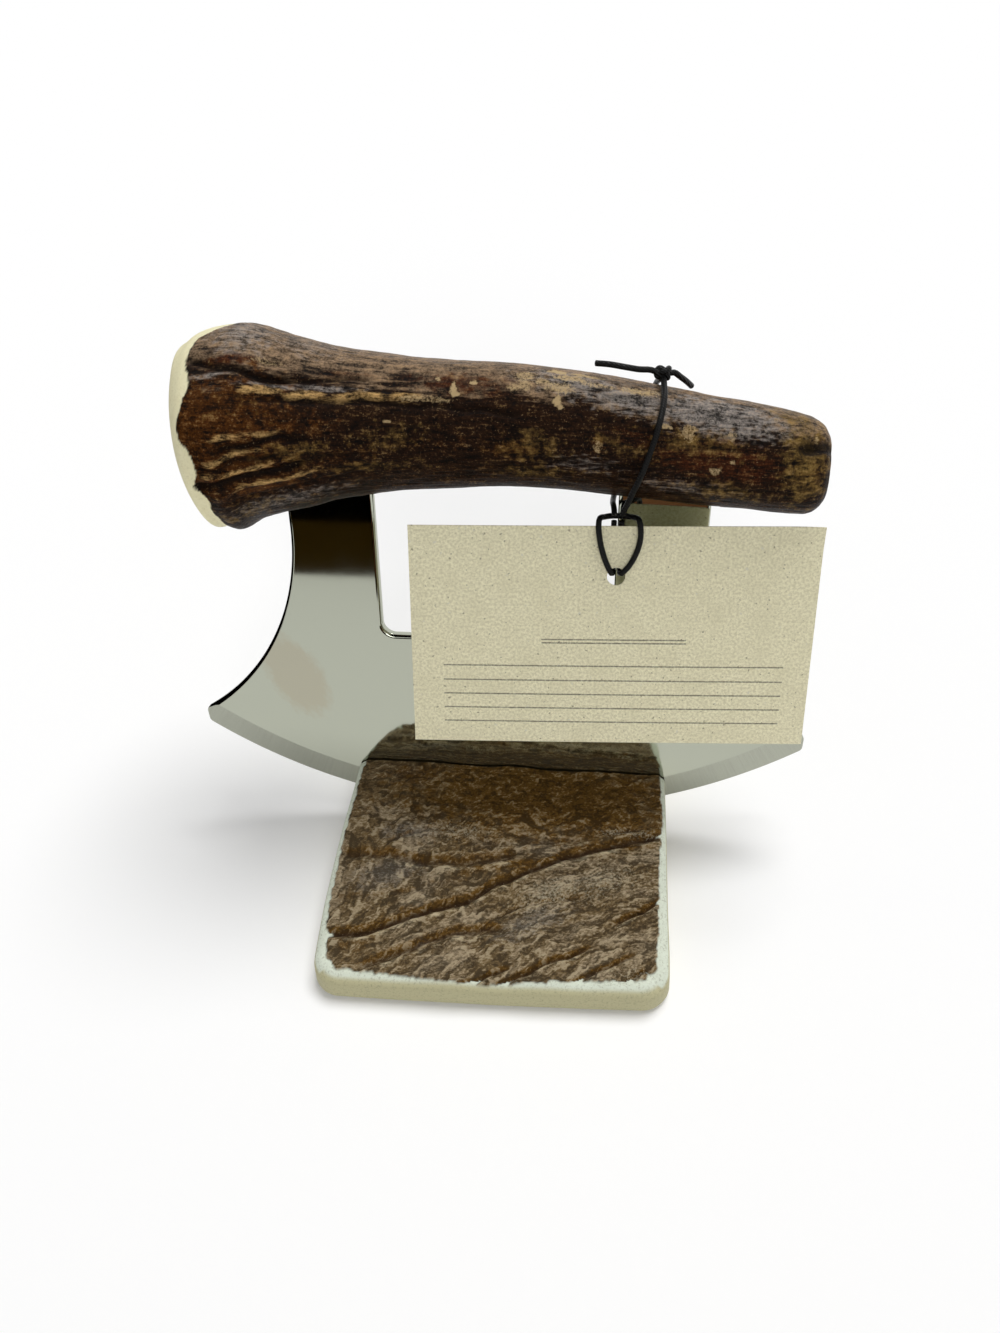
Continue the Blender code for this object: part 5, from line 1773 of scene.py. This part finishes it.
def table_paper(settings):
    """Matt white paper. To the camera and in reflections it is partly light, so it stays plain white."""
    material, tree, shader = new_material("matt_white_paper")
    shader_inputs = {
        "Base Color": settings.paper,
        "Roughness": PAPER_ROUGHNESS,
        "Specular IOR Level": 0.0,
    }
    connect(tree, shader, shader_inputs)
    share = calculated(tree, "MULTIPLY", seen_directly(tree), settings.paper_glow)
    glow = add_node(tree, "ShaderNodeEmission", {"Color": WHITE, "Strength": 1.0})
    inputs = {0: share, 1: shader.outputs["BSDF"], 2: glow.outputs["Emission"]}
    lit = add_node(tree, "ShaderNodeMixShader", inputs).outputs["Shader"]
    connect(tree, tree.nodes["Material Output"], {"Surface": lit})
    return material


def dull_board(name, colour):
    """Matt mottled board, out of the camera's sight, which only shows in what the steel mirrors."""
    material, tree, shader = new_material(name)
    mottle = pattern(tree, solid_place(tree), "board_mottle")
    dark = tuple(channel / 2 for channel in linear(colour)[:3]) + (1.0,)
    inputs = {
        "Base Color": mixed(tree, mottle, dark, linear(colour)),
        "Roughness": BOARD_ROUGHNESS,
        "Specular IOR Level": 0.0,
    }
    connect(tree, shader, inputs)
    return material


def mirrored_board(name, colour, corners, diffuse=True):
    """A board that throws no shadow, and no light either unless diffuse rays see it."""
    board = stage_sheet(name, corners, dull_board(name, colour))
    board.visible_camera = False
    board.visible_shadow = False
    board.visible_diffuse = diffuse


def aim_camera():
    """The photograph's camera."""
    camera_data = bpy.data.cameras.new("camera")
    camera_data.lens = CAMERA_LENS
    camera_data.sensor_width = CAMERA_SENSOR
    camera_data.clip_start = CAMERA_CLIP_START
    camera = helper_object("camera", camera_data)
    turn = Matrix.Rotation(CAMERA_YAW, 4, "Z") @ Matrix.Rotation(math.pi / 2 - CAMERA_PITCH, 4, "X")
    camera.matrix_world = Matrix.Translation(CAMERA_PLACE) @ turn @ Matrix.Rotation(CAMERA_ROLL, 4, "Z")
    bpy.context.scene.camera = camera


def light_studio(settings):
    """Soft lamps above and in front, and an even pale surrounding that the camera sees as white."""
    for name, strength, angle, lean in (
        ("overhead_softbox", settings.lamp_strength, settings.lamp_angle, -settings.lamp_lean),
        ("front_softbox", settings.front_strength, FRONT_LAMP_ANGLE, FRONT_LAMP_LEAN),
    ):
        lamp_data = bpy.data.lights.new(name, "SUN")
        lamp_data.energy = strength
        lamp_data.angle = angle
        lamp = helper_object(name, lamp_data)
        lamp.matrix_world = Matrix.Rotation(LAMP_SIDE_LEAN, 4, "Y") @ Matrix.Rotation(lean, 4, "X")
    world = bpy.data.worlds.new("studio_walls")
    world.use_nodes = True
    tree = world.node_tree
    strength = ranged(tree, seen_directly(tree), 0.0, 1.0, settings.surround_strength, 1.0)
    connect(tree, tree.nodes["Background"], {"Strength": strength, "Color": WHITE})
    bpy.context.scene.world = world


# Settings


def colour_setting(name, description, hex_colour):
    return bpy.props.FloatVectorProperty(
        name=name, description=description, default=linear(hex_colour), size=4, min=0, max=1, subtype="COLOR"
    )


def share_setting(name, description, default, most=1.0):
    return bpy.props.FloatProperty(
        name=name, description=description, default=default, min=0, max=most, subtype="FACTOR"
    )


def number_setting(name, description, default, unit, **limits):
    return bpy.props.FloatProperty(name=name, description=description, default=default, unit=unit, **limits)


def bark_settings(column, least_shade, most_shade, pore_share):
    """The settings of a bark, with its colours from the handle's or the stand's column of their table."""
    colours = {
        name: colour_setting(label, f"Colour of {coloured}", defaults[column])
        for name, label, coloured, *defaults in BARK_COLOURS
    }
    return {
        "relief": share_setting("Relief", "How much of the bark's relief is built", 1.0, 2.0),
        "least_shade": share_setting("Darkest", "How dark the lowest fibres are", least_shade),
        "most_shade": share_setting("Lightest", "How light the highest fibres are", most_shade, 4.0),
        "tip_share": share_setting("Tips", "How much the palest fibres show", 0.5),
        **colours,
        "pore_share": share_setting("Pores", "How much the sanded antler's pores show", pore_share),
    }


class UluStageSettings(bpy.types.PropertyGroup):
    paper: colour_setting("Paper", "Colour of the paper that the stand rests on", "#FDFDFD")
    paper_glow: share_setting("Paper glow", "How much of the paper shows as plain white", 0.06)
    lamp_strength: number_setting("Lamp strength", "Strength of the lamp above", 2.15, "POWER", min=0)
    lamp_angle: number_setting(
        "Lamp size", "How wide the lamp looks", math.radians(32), "ROTATION", min=0, max=math.pi
    )
    lamp_lean: number_setting("Lamp lean", "How far the lamp stands behind", math.radians(18), "ROTATION")
    front_strength: number_setting("Front lamp", "Strength of the lamp in front", 0.80, "POWER", min=0)
    surround_strength: share_setting("Surroundings", "Strength of the light from all round", 0.25, 2.0)


class UluCordSettings(bpy.types.PropertyGroup):
    diameter: number_setting("Diameter", "Thickness of the cord", CORD_DIAMETER, "LENGTH", min=0.0005)
    cord: colour_setting("Cord", "Colour between the strands", "#050505")
    strand: colour_setting("Strands", "Colour of the strands' tops", "#0E0D0C")


class UluBladeSettings(bpy.types.PropertyGroup):
    steel: colour_setting("Steel", "Colour of the polished steel", "#B0B3A4")
    smudge: colour_setting("Smudge", "Colour of the wiped smudge", "#A89E88")
    ground: colour_setting("Ground edge", "Colour in the grinding marks of the edge", "#A2A397")


class UluHandleSettings(bpy.types.PropertyGroup):
    __annotations__ = bark_settings(0, 0.15, 2.5, 0.3)


class UluStandSettings(bpy.types.PropertyGroup):
    __annotations__ = bark_settings(1, 0.50, 1.85, 0.6)


class UluTagSettings(bpy.types.PropertyGroup):
    card: colour_setting("Card", "Colour of the card", "#FAF4D2")
    card_shade: colour_setting("Card shade", "Colour between the card's fibres", "#DCD5B2")
    fleck: colour_setting("Flecks", "Colour of the dark flecks", "#8C8468")
    fibre: colour_setting("Fibres", "Colour of the pale fibres", "#DEDAC4")
    ink: colour_setting("Ink", "Colour of the ruled lines", "#3A3A36")


# Makers


class UluAddStage(bpy.types.Operator):
    """Set up the paper, the lamps, the mirrored boards, the surroundings and the camera"""

    bl_idname = "ulu.add_stage"
    bl_label = "Stage"

    def execute(self, context):
        settings = context.scene.ulu_stage
        bpy.context.scene.view_settings.view_transform = "Standard"
        aim_camera()
        light_studio(settings)
        reach = FLOOR_REACH
        corners = ((-reach, -reach, 0), (reach, -reach, 0), (reach, reach, 0), (-reach, reach, 0))
        stage_sheet("floor", corners, table_paper(settings))
        for name, colour, left, right, low, high, step in FRONT_BOARDS:
            y = BOARD_Y + step
            corners = ((left, y, low), (right, y, low), (right, y, high), (left, y, high))
            mirrored_board(name, colour, corners)
        for name, corners in RIM_BOARDS.items():
            mirrored_board(name, RIM_BOARD_COLOUR, corners, diffuse=False)
        return {"FINISHED"}


class UluAddCord(bpy.types.Operator):
    """Add the cord: two strands with their tails, the knot and the hitch through the card"""

    bl_idname = "ulu.add_cord"
    bl_label = "Cord"

    def execute(self, context):
        settings = context.scene.ulu_cord
        knot = new_piece("cord_overhand_knot", knot_mesh(settings), "knife", "cord_black", "cord_knot")
        knot.data.materials.append(waxed_cord(settings))
        for name, route, cad_nodes, with_pieces in (
            ("cord_with_long_tail", LONG_TAILED_ROUTE, ("cord_front_strand", "cord_long_tail"), [knot]),
            ("cord_with_short_tail", SHORT_TAILED_ROUTE, ("cord_back_strand", "cord_short_tail"), ()),
        ):
            new_cord(name, route, KNIFE_MATRIX, "knife", settings, cad_nodes)
        new_cord("cord_hitch", HITCH_ROUTE, TAG_MATRIX, "tag", settings, ("tag_hitch",))
        return {"FINISHED"}


class UluAddBlade(bpy.types.Operator):
    """Add the polished blade with its ground edge"""

    bl_idname = "ulu.add_blade"
    bl_label = "Blade"

    def execute(self, context):
        settings = context.scene.ulu_blade
        blade = new_piece("ulu_blade", blade_mesh(), "knife", "polished_steel", "blade")
        blade.data.materials.append(polished_steel(settings))
        blade.data.materials.append(ground_steel(settings))
        return {"FINISHED"}


class UluAddHandle(bpy.types.Operator):
    """Add the antler handle with its bark"""

    bl_idname = "ulu.add_handle"
    bl_label = "Handle"

    def execute(self, context):
        settings = context.scene.ulu_handle
        handle = new_piece("antler_handle", handle_mesh(settings.relief), "knife", "antler_bark", "handle")
        look = (BEAM_GLOSS, FIBRES_ALONG_BEAM, BEAM_TONE_WEIGHTS)
        handle.data.materials.append(antler_bark(settings, "oiled_antler_beam_bark", *look))
        return {"FINISHED"}


class UluFinishBeddings(bpy.types.Operator):
    """Give the beddings round the blade's legs their resin"""

    bl_idname = "ulu.finish_beddings"
    bl_label = "Beddings"

    def execute(self, context):
        resin = cured_resin()
        for name in ("epoxy_bedding_left", "epoxy_bedding_right"):
            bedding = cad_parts[name]
            bedding.data.materials.clear()
            bedding.data.materials.append(resin)
        return {"FINISHED"}


class UluAddStand(bpy.types.Operator):
    """Add the antler slab that the knife stands in"""

    bl_idname = "ulu.add_stand"
    bl_label = "Stand"

    def execute(self, context):
        settings = context.scene.ulu_stand
        stand = new_piece("antler_stand", slab_mesh(settings.relief), "stand", "antler_slab", "stand")
        look = (SLAB_GLOSS, FIBRES_ACROSS_SLAB, SLAB_TONE_WEIGHTS)
        stand.data.materials.append(antler_bark(settings, "sanded_antler_palm_bark", *look))
        return {"FINISHED"}


class UluAddTag(bpy.types.Operator):
    """Add the card tag"""

    bl_idname = "ulu.add_tag"
    bl_label = "Tag"

    def execute(self, context):
        settings = context.scene.ulu_tag
        tag = new_piece("hang_tag_card", card_mesh(), "tag", "card", "tag")
        tag.data.materials.append(flecked_card(settings, "ruled_flecked_card", True))
        tag.data.materials.append(flecked_card(settings, "plain_flecked_card", False))
        return {"FINISHED"}


class UluPanel(bpy.types.Panel):
    bl_idname = "VIEW3D_PT_ulu_knife"
    bl_label = "Ulu Knife"
    bl_space_type = "VIEW_3D"
    bl_region_type = "UI"
    bl_category = "Ulu Knife"

    def draw(self, context):
        for maker, group in MAKERS:
            box = self.layout.box()
            box.operator(maker.bl_idname)
            if group:
                settings = getattr(context.scene, group)
                for name in settings.bl_rna.properties.keys():
                    if name not in HIDDEN_SETTINGS:
                        box.prop(settings, name)


SETTINGS = {
    "ulu_stage": UluStageSettings,
    "ulu_cord": UluCordSettings,
    "ulu_blade": UluBladeSettings,
    "ulu_handle": UluHandleSettings,
    "ulu_stand": UluStandSettings,
    "ulu_tag": UluTagSettings,
}
HIDDEN_SETTINGS = ("rna_type", "name")
# Each maker with its settings, in the order in which the pieces are made
MAKERS = (
    (UluAddStage, "ulu_stage"),
    (UluAddCord, "ulu_cord"),
    (UluAddBlade, "ulu_blade"),
    (UluAddHandle, "ulu_handle"),
    (UluFinishBeddings, ""),
    (UluAddStand, "ulu_stand"),
    (UluAddTag, "ulu_tag"),
)


def register():
    for name, group in SETTINGS.items():
        bpy.utils.register_class(group)
        setattr(bpy.types.Scene, name, bpy.props.PointerProperty(type=group))
    for maker, _ in MAKERS:
        bpy.utils.register_class(maker)
    bpy.utils.register_class(UluPanel)


def unregister():
    bpy.utils.unregister_class(UluPanel)
    for maker, _ in reversed(MAKERS):
        bpy.utils.unregister_class(maker)
    for name, group in SETTINGS.items():
        delattr(bpy.types.Scene, name)
        bpy.utils.unregister_class(group)


def main():
    register()
    bpy.ops.ulu.add_stage()
    bpy.ops.ulu.add_cord()
    bpy.ops.ulu.add_blade()
    bpy.ops.ulu.add_handle()
    bpy.ops.ulu.finish_beddings()
    bpy.ops.ulu.add_stand()
    bpy.ops.ulu.add_tag()


if __name__ == "__main__":
    main()
